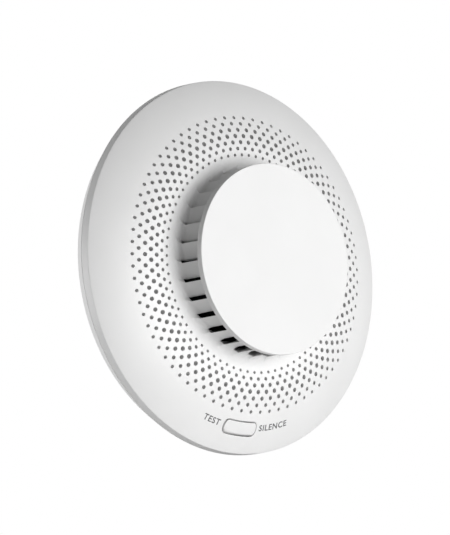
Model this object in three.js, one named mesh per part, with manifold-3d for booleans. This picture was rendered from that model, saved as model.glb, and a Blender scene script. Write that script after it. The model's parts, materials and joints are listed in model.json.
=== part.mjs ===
// Wall-mounted smoke detector: a dished round head that twists onto a wall bracket.
// Millimetres. The pieces are laid out with z = distance from the wall, x right and y up as
// seen from the front; the whole group is then turned so that the front faces -Y and +Z is up.

import * as THREE from 'three';
import { mergeVertices } from 'three/addons/utils/BufferGeometryUtils.js';
import Module from 'manifold-3d';

const wasm = await Module();
wasm.setup();

// ---------------------------------------------------------------- driving dimensions

const GAP = 0.3; // clearance between neighbouring pieces
const ROUND_STEPS = 60; // straight stretches round the large turned pieces
const PART_STEPS = 24; // round the middling ones
const BOSS_STEPS = 16; // round bosses and small knobs
const HOLE_STEPS = 12; // round screws and their holes
const OVERCUT = 1; // how far a cutting tool stands past what it cuts
const BITE = 0.2; // how far joined features sink into the piece they belong to

// Battery bays, one cell at each side
const CELL_RADIUS = 5.25;
const CELL_LENGTH = 44.5;
const CELL_NUB_RADIUS = 1.9;
const CELL_NUB_LENGTH = 0.8;
const CELL_FROM_CENTRE = 41;
const SPRING_LENGTH = 4.7;
const CONTACT_THICKNESS = 0.5;
const BAY_WALL = 1.4;
const BAY_WALL_HEIGHT = 6.5;
const DOOR_THICKNESS = 1.5;
const DOOR_MARGIN = 0.9; // door past the cell at each side
const FINGER_NOTCH = 2;
const CONTACT_MARGIN = 1; // a contact plate is this much narrower than its cell at each side
const SPRING_WIRE = 0.35; // radius
const SPRING_RADIUS = 2.6; // at the plate
const SPRING_TAPER = 1; // how much smaller it is at the cell
const SPRING_TURNS = 3;
const SPRING_DROP = 1; // the spring's axis lies this far behind the cell's, on its plate
const CELL_ABOVE_SEAM = 6.8; // how far the cells reach into the front cover

// Outer form
const COVER_RADIUS = 60;
const COVER_WALL = 2;
const WALL_STANDOFF = 0.5; // the housing's rear edge clears the wall by this much
// Tapered rear shell, front to back: it holds what the front cover doesn't of the cells.
const REAR_DEPTH = DOOR_THICKNESS + GAP + 2 * CELL_RADIUS - CELL_ABOVE_SEAM;
const REAR_TAPER = 3.3; // how much smaller its rear edge is than the cover
const REAR_WALL = 1.6;
const RIM_BAND = 2.8; // straight side of the front cover
const FACE_RISE = 9.8; // from the rim's front edge to the crest of the face
const RIM_SLOPE = 38; // degrees, where the face leaves the rim
const RIM_HANDLE = 7.5; // how long the face holds the rim's slope
const CREST_HANDLE = 7; // how long it runs level before the crest
const CREST_RADIUS = 36.8;
const DISH_STEPS = 6;
const NECK_RADIUS = 28.6; // at the slats' heels
const NECK_FILLET = 2; // where the level face inside the crest turns up into the neck
const FILLET_STEPS = 3;
const NECK_RISE = 9; // from the crest to the neck's top edge
const CAP_THICKNESS = 2.1;
const CAP_EDGE = 0.3; // rounding of the cap's edges
const CAP_SPIGOT_WALL = 1.5;
const CAP_SPIGOT_HEIGHT = 1.8;

// Air slots round the neck, between slats set like a pinwheel's
const SLOT_COUNT = 30;
const SLOT_WIDTH = 1.7;
const SLOT_SKEW = 48; // degrees off the radius, clockwise from the front
const SLAT_STEP = 1.6; // how far a slat's leading edge stands out from the neck
const SLOT_TOP_RING = 1.3; // solid ring left above the slots
const SLOT_PHASE = 1.3; // degrees, first slot from straight down

// Wall bracket and its bayonet
const BRACKET_RADIUS = 28.6;
const BRACKET_PLATE = 2;
const RECESS_CLEARANCE = 0.6; // bracket edge to recess wall
const RECESS_DEPTH = 5.5;
const RECESS_WALL = 1.4;
const LUG_COUNT = 3;
const LUG_PLAY = 0.4; // axial play of the bayonet
const TAB_ARC = 12; // degrees
const TAB_THICKNESS = 1.4;
const TAB_REACH = 3.3;
const LIP_THICKNESS = 1.2;
const LIP_MARGIN = 1; // degrees of lip past the tab at each end
const STOP_ARC = 3; // degrees, web that stops the tab
const HOOK_POST = 1.8;
const SCREW_SLOT_WIDTH = 3.8;
const SCREW_SLOT_RADIUS = 18;
const SCREW_SLOT_ARC = 36; // degrees

// Test and silence button
const BUTTON_RADIUS = 52.6; // distance from the centre of the face
const BUTTON_WIDTH = 14.2;
const BUTTON_HEIGHT = 4.4;
const BUTTON_CORNER = 1.7;
const BUTTON_PROUD = 0.5;
const BUTTON_TRAVEL = 0.5;
const BUTTON_LEG = 1.5;
const BUTTON_EAR = 1.5;
const EAR_THICKNESS = 1.1;
const SWITCH_WIDTH = 4.5;
const SWITCH_DEPTH = 3;
const SWITCH_HEIGHT = 1.7;
const PLUNGER_RADIUS = 1.2;
const PLUNGER_PROUD = 0.4;

// Circuit board and what stands on it
const BOARD_RADIUS = 34;
const BOARD_THICKNESS = 1.6;
const BOARD_STANDOFF = 1; // housing floor to board
const TONGUE_HALF_WIDTH = 5;
const BOARD_SCREW_RADIUS = 29.5; // distance from the centre
const STATUS_LED_RADIUS = 1.5;
const STATUS_LED_HEIGHT = 2.6;
const STATUS_LED_FROM_BUTTON = 6;
const BOARD_SCREW_ANGLES = [30, 150, 270];
const CHIP_ANGLE = 200;
const CHIP_SIZE = 5;
const CHIP_THICKNESS = 1;
const CAPACITOR_ANGLE = 330;
const CAPACITOR_RADIUS = 2.5;
const CAPACITOR_HEIGHT = 5;

// Smoke chamber
const SCREEN_WALL = 0.5;
const CHAMBER_CLEARANCE = 0.5; // chamber edge to screen
const CHAMBER_FLOOR = 1.4;
const CHAMBER_LID = 1.4;
const VANE_COUNT = 16;
const VANE_LENGTH = 6;
const VANE_THICKNESS = 0.9;
const VANE_TURN = 35; // degrees off the radius
const VANE_BEND = 1.8; // how far a vane's elbow stands out of line
const OPTICS_FROM_CENTRE = 11;
const OPTICS_HEIGHT = 4.3; // optical axis above the chamber floor
const EMITTER_RADIUS = 1.5;
const EMITTER_LENGTH = 5;
const DETECTOR_SIZE = 4;
const SCATTER_ANGLE = 135; // degrees between emitter and detector

// Sounder
const SOUNDER_FROM_CENTRE = 43;
const SOUNDER_RADIUS = 11.2;
const SOUNDER_HEIGHT = 7.4;
const SOUNDER_WALL = 1.2;
const SOUNDER_PORT = 2.5;
const DISC_THICKNESS = 0.4;
const CERAMIC_RADIUS = 6.5;
const LEAD_RADIUS = 0.5;
// A lead's route from the board up and over the cup's edge: aside, along and out from its foot.
const LEAD_ROUTE = [[3, -5, 0], [3.4, -2, 1.4], [3.2, 1.5, 1.2], [2.6, 4, 0]];
const LEAD_STEPS = 9;

// Fasteners
const SCREW_RADIUS = 1.1;
const SCREW_HEAD_RADIUS = 2.5;
const SCREW_HEAD_HEIGHT = 1.2;
const SCREW_HEAD_FLANK = 0.7; // upright part of the head's side
const SCREW_HEAD_FLAT = 1.75; // radius of the head's flat top
const CROSS_ARM = 1.5; // the cross recess, from the middle to an arm's end
const CROSS_BLADE = 0.3; // half an arm's width
const BOSS_WALL = 1.5;
const CASE_SCREW_RADIUS = 50; // distance from the centre
const CASE_SCREW_ANGLES = [45, 135, 225, 315];
const CASE_SCREW_LENGTH = 7;
const CASE_SCREW_SINK = 1.1; // head below the rear face

// ---------------------------------------------------------------- levels, from the wall

const rearFace = WALL_STANDOFF;
const seam = rearFace + REAR_DEPTH;
const coverFoot = seam + GAP;
const rimFront = coverFoot + RIM_BAND;
const crest = rimFront + FACE_RISE;
const neckTop = crest + NECK_RISE;
const capBack = neckTop + GAP;
const capFront = capBack + CAP_THICKNESS;
const rearInside = rearFace + REAR_WALL;
const recessFloor = rearFace + RECESS_DEPTH;
const floorTop = recessFloor + RECESS_WALL;
const boardBack = floorTop + BOARD_STANDOFF;
const boardFront = boardBack + BOARD_THICKNESS;
const partsFoot = boardFront + GAP; // what stands on the board starts here
const recessRadius = BRACKET_RADIUS + RECESS_CLEARANCE;
const neckInside = NECK_RADIUS - COVER_WALL;
const slatTip = NECK_RADIUS + SLAT_STEP;
const capRadius = slatTip; // the cap's edge is flush with the slats' leading edges

// ---------------------------------------------------------------- shape helpers

const rad = THREE.MathUtils.degToRad;
const polar = (radius, degrees) => [radius * Math.cos(rad(degrees)), radius * Math.sin(rad(degrees))];

// A closed mesh as a solid: shared corners merged, flat triangles dropped, faces outward.
function solid(geometry) {
  const bare = geometry.clone();
  bare.deleteAttribute('normal');
  bare.deleteAttribute('uv');
  const merged = mergeVertices(bare, 1e-4);
  const at = merged.attributes.position;
  const corner = (i) => new THREE.Vector3().fromBufferAttribute(at, i);
  const triangles = [];
  let volume = 0;
  for (let i = 0; i < merged.index.count; i += 3) {
    const [a, b, c] = [0, 1, 2].map((k) => merged.index.getX(i + k));
    if (a === b || b === c || c === a) continue;
    volume += corner(a).dot(corner(b).cross(corner(c)));
    triangles.push([a, b, c]);
  }
  const outward = volume > 0 ? triangles : triangles.map(([a, b, c]) => [a, c, b]);
  return new wasm.Manifold(new wasm.Mesh({
    numProp: 3,
    vertProperties: new Float32Array(at.array),
    triVerts: new Uint32Array(outward.flat()),
  }));
}

function toGeometry(body) {
  const mesh = body.getMesh();
  const geometry = new THREE.BufferGeometry();
  geometry.setAttribute('position', new THREE.BufferAttribute(mesh.vertProperties, 3));
  geometry.setIndex(new THREE.BufferAttribute(mesh.triVerts, 1));
  geometry.computeVertexNormals();
  return geometry;
}

const join = (...bodies) => bodies.reduce((sum, body) => sum.add(body));
const cut = (body, ...tools) => tools.reduce((rest, tool) => rest.subtract(tool), body);

// A profile of [radius, z] points turned about the z axis.
function revolve(profile, segments = PART_STEPS) {
  const closed = profile[0][0] === 0 ? profile : [...profile, profile[0]];
  const points = closed.map(([r, z]) => new THREE.Vector2(r, z));
  return solid(new THREE.LatheGeometry(points, segments).rotateX(Math.PI / 2));
}

function prism(shape, low, high, curveSegments = 8) {
  const options = { depth: high - low, bevelEnabled: false, curveSegments };
  return solid(new THREE.ExtrudeGeometry(shape, options).translate(0, 0, low));
}

function block([x0, x1], [y0, y1], [z0, z1]) {
  const geometry = new THREE.BoxGeometry(x1 - x0, y1 - y0, z1 - z0);
  return solid(geometry.translate((x0 + x1) / 2, (y0 + y1) / 2, (z0 + z1) / 2));
}

function rod(radius, low, high, [x, y] = [0, 0], segments = PART_STEPS) {
  const geometry = new THREE.CylinderGeometry(radius, radius, high - low, segments);
  return solid(geometry.rotateX(Math.PI / 2).translate(x, y, (low + high) / 2));
}

function roundedRectangle(width, height, corner) {
  const shape = new THREE.Shape();
  const [x, y] = [width / 2, height / 2];
  shape.moveTo(-x + corner, -y);
  shape.lineTo(x - corner, -y);
  shape.absarc(x - corner, -y + corner, corner, -Math.PI / 2, 0);
  shape.absarc(x - corner, y - corner, corner, 0, Math.PI / 2);
  shape.absarc(-x + corner, y - corner, corner, Math.PI / 2, Math.PI);
  shape.absarc(-x + corner, -y + corner, corner, Math.PI, Math.PI * 1.5);
  return shape;
}

function ringSector(inner, outer, from, to) {
  const shape = new THREE.Shape();
  shape.absarc(0, 0, outer, rad(from), rad(to), false);
  shape.absarc(0, 0, inner, rad(to), rad(from), true);
  shape.closePath();
  return shape;
}

const turned = (body, degrees) => body.rotate([0, 0, degrees]);
const moved = (body, x, y, z = 0) => body.translate([x, y, z]);

function tube(points, radius, sides, steps) {
  const path = new THREE.CatmullRomCurve3(points.map((p) => new THREE.Vector3(...p)));
  const section = new THREE.Shape();
  section.absarc(0, 0, radius, 0, Math.PI * 2);
  const options = { extrudePath: path, steps, curveSegments: sides / 2, bevelEnabled: false };
  return solid(new THREE.ExtrudeGeometry(section, options));
}

// ---------------------------------------------------------------- materials

const finish = (color, roughness, metalness = 0) =>
  new THREE.MeshStandardMaterial({ color, roughness, metalness });
const whitePlastic = finish('#f1f1ef', 0.5);
const bracketPlastic = finish('#e9e9e6', 0.55);
const chamberPlastic = finish('#141414', 0.7);
const screenMetal = finish('#3a3b3c', 0.45, 0.8);
const boardGreen = finish('#1f5a3a', 0.45);
const steel = finish('#b9bbbd', 0.3, 1);
const springSteel = finish('#c9c6bd', 0.28, 1);
const brass = finish('#c39a4a', 0.32, 1);
const ceramic = finish('#ece7da', 0.6);
const cellJacket = finish('#2f3338', 0.35);
const switchBlack = finish('#1b1c1d', 0.5);
const plungerPlastic = finish('#c8c8c4', 0.5);
const clearEpoxy = finish('#cfe3d2', 0.15);
const emitterEpoxy = finish('#5b6f8f', 0.2);
const detectorBlack = finish('#101114', 0.3);
const leadRed = finish('#a81f1c', 0.5);
const leadBlack = finish('#191919', 0.5);

const detector = new THREE.Group();

function place(name, body, material) {
  const mesh = new THREE.Mesh(toGeometry(body), material);
  mesh.name = name;
  detector.add(mesh);
}

// ---------------------------------------------------------------- the face's outline

// Rim to crest, as [radius, z] points.
function dishOutline(proud = 0) {
  const lean = rad(RIM_SLOPE);
  const at = (r, z) => new THREE.Vector2(r, z + proud);
  return new THREE.CubicBezierCurve(
    at(COVER_RADIUS, rimFront),
    at(COVER_RADIUS - RIM_HANDLE * Math.cos(lean), rimFront + RIM_HANDLE * Math.sin(lean)),
    at(CREST_RADIUS + CREST_HANDLE, crest),
    at(CREST_RADIUS, crest),
  ).getPoints(DISH_STEPS);
}

// From the level face up into the neck: a quarter round of a radius about the fillet's centre.
function neckFoot(radius) {
  return Array.from({ length: FILLET_STEPS + 1 }, (_, i) => {
    const angle = (i / FILLET_STEPS) * (Math.PI / 2);
    return new THREE.Vector2(
      NECK_RADIUS + NECK_FILLET - radius * Math.sin(angle),
      crest + NECK_FILLET - radius * Math.cos(angle),
    );
  });
}

// The dish moved inward by the wall, along its own normals, from the side wall's inner face on.
function insideOutline(wall) {
  const outer = dishOutline();
  const shifted = outer.map((point, i) => {
    const before = outer[Math.max(i - 1, 0)];
    const after = outer[Math.min(i + 1, outer.length - 1)];
    const along = after.clone().sub(before).normalize();
    return new THREE.Vector2(point.x - along.y * wall, point.y + along.x * wall);
  });
  const sideWall = COVER_RADIUS - wall;
  const corner = new THREE.Vector2(sideWall, heightAt(shifted, sideWall));
  return [corner, ...shifted.filter((point) => point.x < sideWall), ...neckFoot(NECK_FILLET + wall)];
}

// Height of an outline where it crosses a radius.
function heightAt(outline, radius) {
  for (let i = 1; i < outline.length; i += 1) {
    const [a, b] = [outline[i - 1], outline[i]];
    if (a.x >= radius && b.x <= radius) return a.y + ((b.y - a.y) * (a.x - radius)) / (a.x - b.x);
  }
  return outline[0].y;
}

const outside = [...dishOutline(), ...neckFoot(NECK_FILLET)];
const inside = insideOutline(COVER_WALL);

// ---------------------------------------------------------------- front cover and cap

const caseScrewPlaces = CASE_SCREW_ANGLES.map((angle) => polar(CASE_SCREW_RADIUS, angle));
const caseHeadFront = rearFace + CASE_SCREW_SINK + SCREW_HEAD_HEIGHT;
const rearBossTop = caseHeadFront + GAP + REAR_WALL;
const bossRadius = SCREW_RADIUS + GAP + BOSS_WALL;

// A slot's two sides in plan, for the slot at angle 0: the square heel of the slat before it,
// and the slanted back of the slat after it.
const slotOffset = NECK_RADIUS * Math.sin(rad(SLOT_SKEW));
const sideAngle = (offset, radius) => THREE.MathUtils.radToDeg(Math.asin(offset / radius)) - SLOT_SKEW;
const heelAngle = sideAngle(slotOffset - SLOT_WIDTH / 2, NECK_RADIUS);
const backAngle = (radius) => sideAngle(slotOffset + SLOT_WIDTH / 2, radius);

const outlineShape = (points) => new THREE.Shape(points.map(([x, y]) => new THREE.Vector2(x, y)));

// The slat after the slot: a flat blade from its leading edge to its heel at the next slot.
function slatShape() {
  const root = neckInside + COVER_WALL / 2;
  const pitch = 360 / SLOT_COUNT;
  return outlineShape([
    polar(slatTip, backAngle(slatTip)),
    polar(NECK_RADIUS, heelAngle + pitch),
    polar(root, heelAngle + pitch),
    polar(root, backAngle(root)),
  ]);
}

// The slot: a wedge from inside the neck out to where its two sides meet in the face.
function slotShape() {
  const point = (slotOffset + SLOT_WIDTH / 2) / Math.sin(rad(heelAngle + SLOT_SKEW));
  const inner = neckInside - OVERCUT / 2;
  return outlineShape([
    polar(inner, heelAngle),
    polar(point, heelAngle),
    polar(inner, backAngle(inner)),
  ]);
}

function frontCover() {
  const shell = revolve([
    [COVER_RADIUS - COVER_WALL, coverFoot],
    [COVER_RADIUS, coverFoot],
    ...outside.map((p) => [p.x, p.y]),
    [NECK_RADIUS, neckTop],
    [neckInside, neckTop],
    ...inside.map((p) => [p.x, p.y]).reverse(),
  ], ROUND_STEPS);

  const bossFoot = rearBossTop + GAP;
  const bossHead = heightAt(outside, CASE_SCREW_RADIUS + bossRadius) - COVER_WALL / 2;
  const pilotEnd = caseHeadFront + CASE_SCREW_LENGTH + GAP;
  const bosses = caseScrewPlaces.map((at) => rod(bossRadius, bossFoot, bossHead, at, BOSS_STEPS));
  const pilots = caseScrewPlaces.map((at) =>
    rod(SCREW_RADIUS + GAP, bossFoot - OVERCUT, pilotEnd, at, HOLE_STEPS));

  const turns = Array.from({ length: SLOT_COUNT }, (_, i) => -90 + SLOT_PHASE + (i * 360) / SLOT_COUNT);
  const slat = prism(slatShape(), crest - COVER_WALL / 2, neckTop);
  const slot = prism(slotShape(), crest - COVER_WALL - OVERCUT, neckTop - SLOT_TOP_RING);
  const slats = turns.map((angle) => turned(slat, angle));
  const slots = turns.map((angle) => turned(slot, angle));

  const keyhole = roundedRectangle(BUTTON_WIDTH + 2 * GAP, BUTTON_HEIGHT + 2 * GAP, BUTTON_CORNER + GAP);
  const buttonHole = moved(prism(keyhole, coverFoot, crest, 4), 0, -BUTTON_RADIUS);
  return cut(join(shell, ...slats, ...bosses), ...pilots, ...slots, buttonHole);
}

function frontCap() {
  const spigotOuter = neckInside - GAP;
  const spigotFoot = capBack - CAP_SPIGOT_HEIGHT;
  return revolve([
    [0, capBack],
    [spigotOuter - CAP_SPIGOT_WALL, capBack],
    [spigotOuter - CAP_SPIGOT_WALL, spigotFoot],
    [spigotOuter, spigotFoot],
    [spigotOuter, capBack],
    [capRadius - CAP_EDGE, capBack],
    [capRadius, capBack + CAP_EDGE],
    [capRadius, capFront - CAP_EDGE],
    [capRadius - CAP_EDGE, capFront],
    [0, capFront],
  ], ROUND_STEPS);
}

place('front_cover', frontCover(), whitePlastic);
place('front_cap', frontCap(), whitePlastic);

// ---------------------------------------------------------------- rear housing

const cellHeight = rearFace + DOOR_THICKNESS + GAP + CELL_RADIUS;
const doorHalfWidth = CELL_RADIUS + DOOR_MARGIN;
const cellNubEnd = (CELL_LENGTH + SPRING_LENGTH) / 2; // the cell's nub end, from its bay's middle
const bayEnd = cellNubEnd + CONTACT_THICKNESS + 2 * GAP; // inner face of each bay's end walls
const doorHalfLength = bayEnd - GAP;
const boardScrewPlaces = BOARD_SCREW_ANGLES.map((angle) => polar(BOARD_SCREW_RADIUS, angle));
const tongueEnd = BUTTON_RADIUS + SWITCH_DEPTH / 2;
const spigotOuter = COVER_RADIUS - COVER_WALL - GAP;
const rearSpigotTop = heightAt(inside, spigotOuter) - 2 * GAP;

const tabOuter = recessRadius + BITE;
const tabInner = recessRadius - TAB_REACH;
const tabBack = BRACKET_PLATE + LUG_PLAY;
const tabFront = tabBack + TAB_THICKNESS;

function rearHousing() {
  const rearRadius = COVER_RADIUS - REAR_TAPER;
  const taperStep = (REAR_TAPER * REAR_WALL) / REAR_DEPTH;
  const shell = revolve([
    [0, recessFloor],
    [recessRadius, recessFloor],
    [recessRadius, rearFace],
    [rearRadius, rearFace],
    [COVER_RADIUS, seam],
    [spigotOuter, seam],
    [spigotOuter, rearSpigotTop],
    [spigotOuter - REAR_WALL, rearSpigotTop],
    [spigotOuter - REAR_WALL, seam - REAR_WALL / 2],
    [rearRadius - REAR_WALL + taperStep / 2, rearInside],
    [recessRadius + RECESS_WALL, rearInside],
    [recessRadius + RECESS_WALL, floorTop],
    [0, floorTop],
  ], ROUND_STEPS);

  const tabs = Array.from({ length: LUG_COUNT }, (_, i) => {
    const start = 90 + (i * 360) / LUG_COUNT - TAB_ARC / 2;
    return prism(ringSector(tabInner, tabOuter, start, start + TAB_ARC), tabBack, tabFront, 4);
  });
  const boardBosses = boardScrewPlaces.map((at) =>
    rod(bossRadius, floorTop - BITE, boardBack - GAP, at, BOSS_STEPS));
  const caseBosses = caseScrewPlaces.map((at) =>
    rod(SCREW_HEAD_RADIUS + GAP + REAR_WALL, rearInside - BITE, rearBossTop, at, BOSS_STEPS));
  const tonguePost = rod(bossRadius, rearInside - BITE, boardBack - GAP,
    [0, -(tongueEnd - bossRadius)], BOSS_STEPS);
  const bayWalls = [];
  for (const side of [-1, 1]) {
    for (const end of [-1, 1]) {
      const x = [side * CELL_FROM_CENTRE - doorHalfWidth, side * CELL_FROM_CENTRE + doorHalfWidth];
      const y = [end * bayEnd, end * (bayEnd + BAY_WALL)].sort((a, b) => a - b);
      bayWalls.push(block(x, y, [rearInside - BITE, rearInside + BAY_WALL_HEIGHT]));
    }
  }

  const boardPilots = boardScrewPlaces.map((at) =>
    rod(SCREW_RADIUS + GAP, recessFloor - OVERCUT, boardFront, at, HOLE_STEPS));
  const caseHoles = caseScrewPlaces.flatMap((at) => [
    rod(SCREW_HEAD_RADIUS + GAP, rearFace - OVERCUT, caseHeadFront + GAP, at, BOSS_STEPS),
    rod(SCREW_RADIUS + GAP, rearFace - OVERCUT, rearBossTop + OVERCUT, at, HOLE_STEPS),
  ]);
  const doorways = [-1, 1].map((side) => block(
    [side * CELL_FROM_CENTRE - doorHalfWidth - GAP, side * CELL_FROM_CENTRE + doorHalfWidth + GAP],
    [-bayEnd, bayEnd],
    [rearFace - OVERCUT, rearInside + BITE],
  ));
  return cut(
    join(shell, ...tabs, ...boardBosses, ...caseBosses, tonguePost, ...bayWalls),
    ...boardPilots, ...caseHoles, ...doorways,
  );
}

place('rear_housing', rearHousing(), whitePlastic);

// ---------------------------------------------------------------- wall bracket

function mountingBracket() {
  const plate = rod(BRACKET_RADIUS, 0, BRACKET_PLATE, [0, 0], ROUND_STEPS);
  const postOuter = tabInner - GAP;
  const postInner = postOuter - HOOK_POST;
  const lipOuter = BRACKET_RADIUS - GAP;
  const lipBack = tabFront + LUG_PLAY;
  const lipFront = lipBack + LIP_THICKNESS;
  const hooks = Array.from({ length: LUG_COUNT }, (_, i) => {
    const middle = 90 + (i * 360) / LUG_COUNT;
    const lipStart = middle - TAB_ARC / 2 - LIP_MARGIN;
    const lipEnd = middle + TAB_ARC / 2 + LIP_MARGIN;
    const stopStart = lipStart - STOP_ARC;
    return join(
      prism(ringSector(postInner, postOuter, stopStart, lipEnd), BRACKET_PLATE - BITE, lipFront, 4),
      prism(ringSector(postOuter - BITE, lipOuter, stopStart, lipEnd), lipBack, lipFront, 4),
      prism(ringSector(postOuter - BITE, lipOuter, stopStart, lipStart), BRACKET_PLATE - BITE, lipFront, 2),
    );
  });
  const halfSlot = SCREW_SLOT_WIDTH / 2;
  const screwHole = (at) => rod(halfSlot, -OVERCUT, BRACKET_PLATE + OVERCUT, at, BOSS_STEPS);
  const screwSlots = [0, 180].flatMap((angle) => {
    const ends = [-SCREW_SLOT_ARC / 2, SCREW_SLOT_ARC / 2].map((offset) => angle + offset);
    const track = ringSector(SCREW_SLOT_RADIUS - halfSlot, SCREW_SLOT_RADIUS + halfSlot, ends[0], ends[1]);
    return [
      prism(track, -OVERCUT, BRACKET_PLATE + OVERCUT, 6),
      ...ends.map((end) => screwHole(polar(SCREW_SLOT_RADIUS, end))),
    ];
  });
  const screwHoles = [90, 270].map((angle) => screwHole(polar(SCREW_SLOT_RADIUS, angle)));
  return cut(join(plate, ...hooks), ...screwSlots, ...screwHoles);
}

place('mounting_bracket', mountingBracket(), bracketPlastic);

// ---------------------------------------------------------------- screws

// A pan-head screw along z: its head's seat at z = 0, its point towards -z.
function screw(length) {
  const turn = revolve([
    [0, -length],
    [SCREW_RADIUS, -length + SCREW_RADIUS],
    [SCREW_RADIUS, 0],
    [SCREW_HEAD_RADIUS, 0],
    [SCREW_HEAD_RADIUS, SCREW_HEAD_FLANK],
    [SCREW_HEAD_FLAT, SCREW_HEAD_HEIGHT],
    [0, SCREW_HEAD_HEIGHT],
  ], HOLE_STEPS);
  const arm = [-CROSS_ARM, CROSS_ARM];
  const blade = [-CROSS_BLADE, CROSS_BLADE];
  const depth = [SCREW_HEAD_HEIGHT / 2, SCREW_HEAD_HEIGHT + OVERCUT];
  return cut(turn, block(arm, blade, depth), block(blade, arm, depth));
}

const caseScrew = screw(CASE_SCREW_LENGTH).rotate([180, 0, 0]);
caseScrewPlaces.forEach(([x, y], i) => {
  place(`case_screw_${i + 1}`, moved(caseScrew, x, y, caseHeadFront), steel);
});

const boardScrew = screw(boardFront + GAP - floorTop + RECESS_WALL / 2);
boardScrewPlaces.forEach(([x, y], i) => {
  place(`board_screw_${i + 1}`, moved(boardScrew, x, y, partsFoot), steel);
});

// ---------------------------------------------------------------- circuit board

function circuitBoard() {
  const disc = rod(BOARD_RADIUS, boardBack, boardFront, [0, 0], ROUND_STEPS);
  const tongue = block([-TONGUE_HALF_WIDTH, TONGUE_HALF_WIDTH], [-tongueEnd, 0], [boardBack, boardFront]);
  const through = [boardBack - OVERCUT, boardFront + OVERCUT];
  const holes = boardScrewPlaces.map((at) => rod(SCREW_RADIUS + GAP, ...through, at, HOLE_STEPS));
  const sounderBite = rod(SOUNDER_RADIUS + 2 * GAP, ...through, [0, SOUNDER_FROM_CENTRE]);
  return cut(join(disc, tongue), ...holes, sounderBite);
}

place('circuit_board', circuitBoard(), boardGreen);

const chipAt = polar(BOARD_SCREW_RADIUS, CHIP_ANGLE);
place('controller_chip', block(
  [chipAt[0] - CHIP_SIZE / 2, chipAt[0] + CHIP_SIZE / 2],
  [chipAt[1] - CHIP_SIZE / 2, chipAt[1] + CHIP_SIZE / 2],
  [partsFoot, partsFoot + CHIP_THICKNESS],
), switchBlack);
place('capacitor', rod(CAPACITOR_RADIUS, partsFoot, partsFoot + CAPACITOR_HEIGHT,
  polar(BOARD_SCREW_RADIUS, CAPACITOR_ANGLE)), cellJacket);

function statusLed() {
  const tip = partsFoot + STATUS_LED_HEIGHT;
  const steps = 4;
  const dome = Array.from({ length: steps }, (_, i) => {
    const angle = rad((i * 90) / steps);
    return [STATUS_LED_RADIUS * Math.cos(angle), tip - STATUS_LED_RADIUS * (1 - Math.sin(angle))];
  });
  return moved(revolve([[0, partsFoot], [STATUS_LED_RADIUS, partsFoot], ...dome, [0, tip]], BOSS_STEPS),
    0, -(BUTTON_RADIUS - STATUS_LED_FROM_BUTTON));
}

place('status_led', statusLed(), clearEpoxy);

// ---------------------------------------------------------------- test and silence button

const switchTop = partsFoot + SWITCH_HEIGHT;
const plungerTop = switchTop + PLUNGER_PROUD;
const keyCeiling = plungerTop + GAP;

function testButton() {
  const outline = roundedRectangle(BUTTON_WIDTH, BUTTON_HEIGHT, BUTTON_CORNER);
  const bodyFoot = switchTop - 3 * GAP;
  const body = moved(prism(outline, bodyFoot, crest, 6), 0, -BUTTON_RADIUS);
  const face = dishOutline(BUTTON_PROUD).map((p) => [p.x, p.y]);
  const under = revolve([[0, 0], [COVER_RADIUS, 0], ...face, [0, crest]], ROUND_STEPS);
  const cavity = block(
    [-SWITCH_WIDTH / 2 - 2 * GAP, SWITCH_WIDTH / 2 + 2 * GAP],
    [-BUTTON_RADIUS - SWITCH_DEPTH / 2 - GAP, -BUTTON_RADIUS + BUTTON_HEIGHT],
    [bodyFoot - OVERCUT, keyCeiling],
  );
  const earOut = BUTTON_WIDTH / 2 + BUTTON_EAR;
  const innerFace = heightAt(inside, Math.hypot(earOut, BUTTON_RADIUS + BUTTON_LEG));
  const earTop = innerFace - GAP;
  const legs = [-1, 1].flatMap((side) => {
    const leg = [side * (BUTTON_WIDTH / 2 - BUTTON_LEG), side * BUTTON_WIDTH / 2].sort((a, b) => a - b);
    const ear = [side * (BUTTON_WIDTH / 2 - BUTTON_LEG), side * earOut].sort((a, b) => a - b);
    const y = [-BUTTON_RADIUS - BUTTON_LEG / 2, -BUTTON_RADIUS + BUTTON_LEG / 2];
    return [
      block(leg, y, [earTop - EAR_THICKNESS, bodyFoot + BITE]),
      block(ear, y, [earTop - EAR_THICKNESS, earTop]),
    ];
  });
  return join(cut(body.intersect(under), cavity), ...legs);
}

place('test_button', testButton(), whitePlastic);

const switchBody = cut(
  block([-SWITCH_WIDTH / 2, SWITCH_WIDTH / 2],
    [-BUTTON_RADIUS - SWITCH_DEPTH / 2, -BUTTON_RADIUS + SWITCH_DEPTH / 2], [partsFoot, switchTop]),
  rod(PLUNGER_RADIUS + GAP / 2, partsFoot - OVERCUT, switchTop + OVERCUT, [0, -BUTTON_RADIUS], BOSS_STEPS),
);
place('tact_switch_body', switchBody, switchBlack);
place('tact_switch_plunger',
  rod(PLUNGER_RADIUS, partsFoot + BUTTON_TRAVEL, plungerTop, [0, -BUTTON_RADIUS], BOSS_STEPS),
  plungerPlastic);

// ---------------------------------------------------------------- smoke chamber

const screenOuter = neckInside - GAP;
const screenTop = capBack - CAP_SPIGOT_HEIGHT - GAP;
const chamberRadius = screenOuter - SCREEN_WALL - CHAMBER_CLEARANCE;
const chamberFloorTop = partsFoot + CHAMBER_FLOOR;
const lidFront = screenTop;
const lidBack = lidFront - CHAMBER_LID;
const vaneTop = lidBack - GAP;
const opticsAxis = chamberFloorTop + OPTICS_HEIGHT;

place('insect_screen', revolve([
  [screenOuter - SCREEN_WALL, partsFoot],
  [screenOuter, partsFoot],
  [screenOuter, screenTop],
  [screenOuter - SCREEN_WALL, screenTop],
], ROUND_STEPS), screenMetal);

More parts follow.
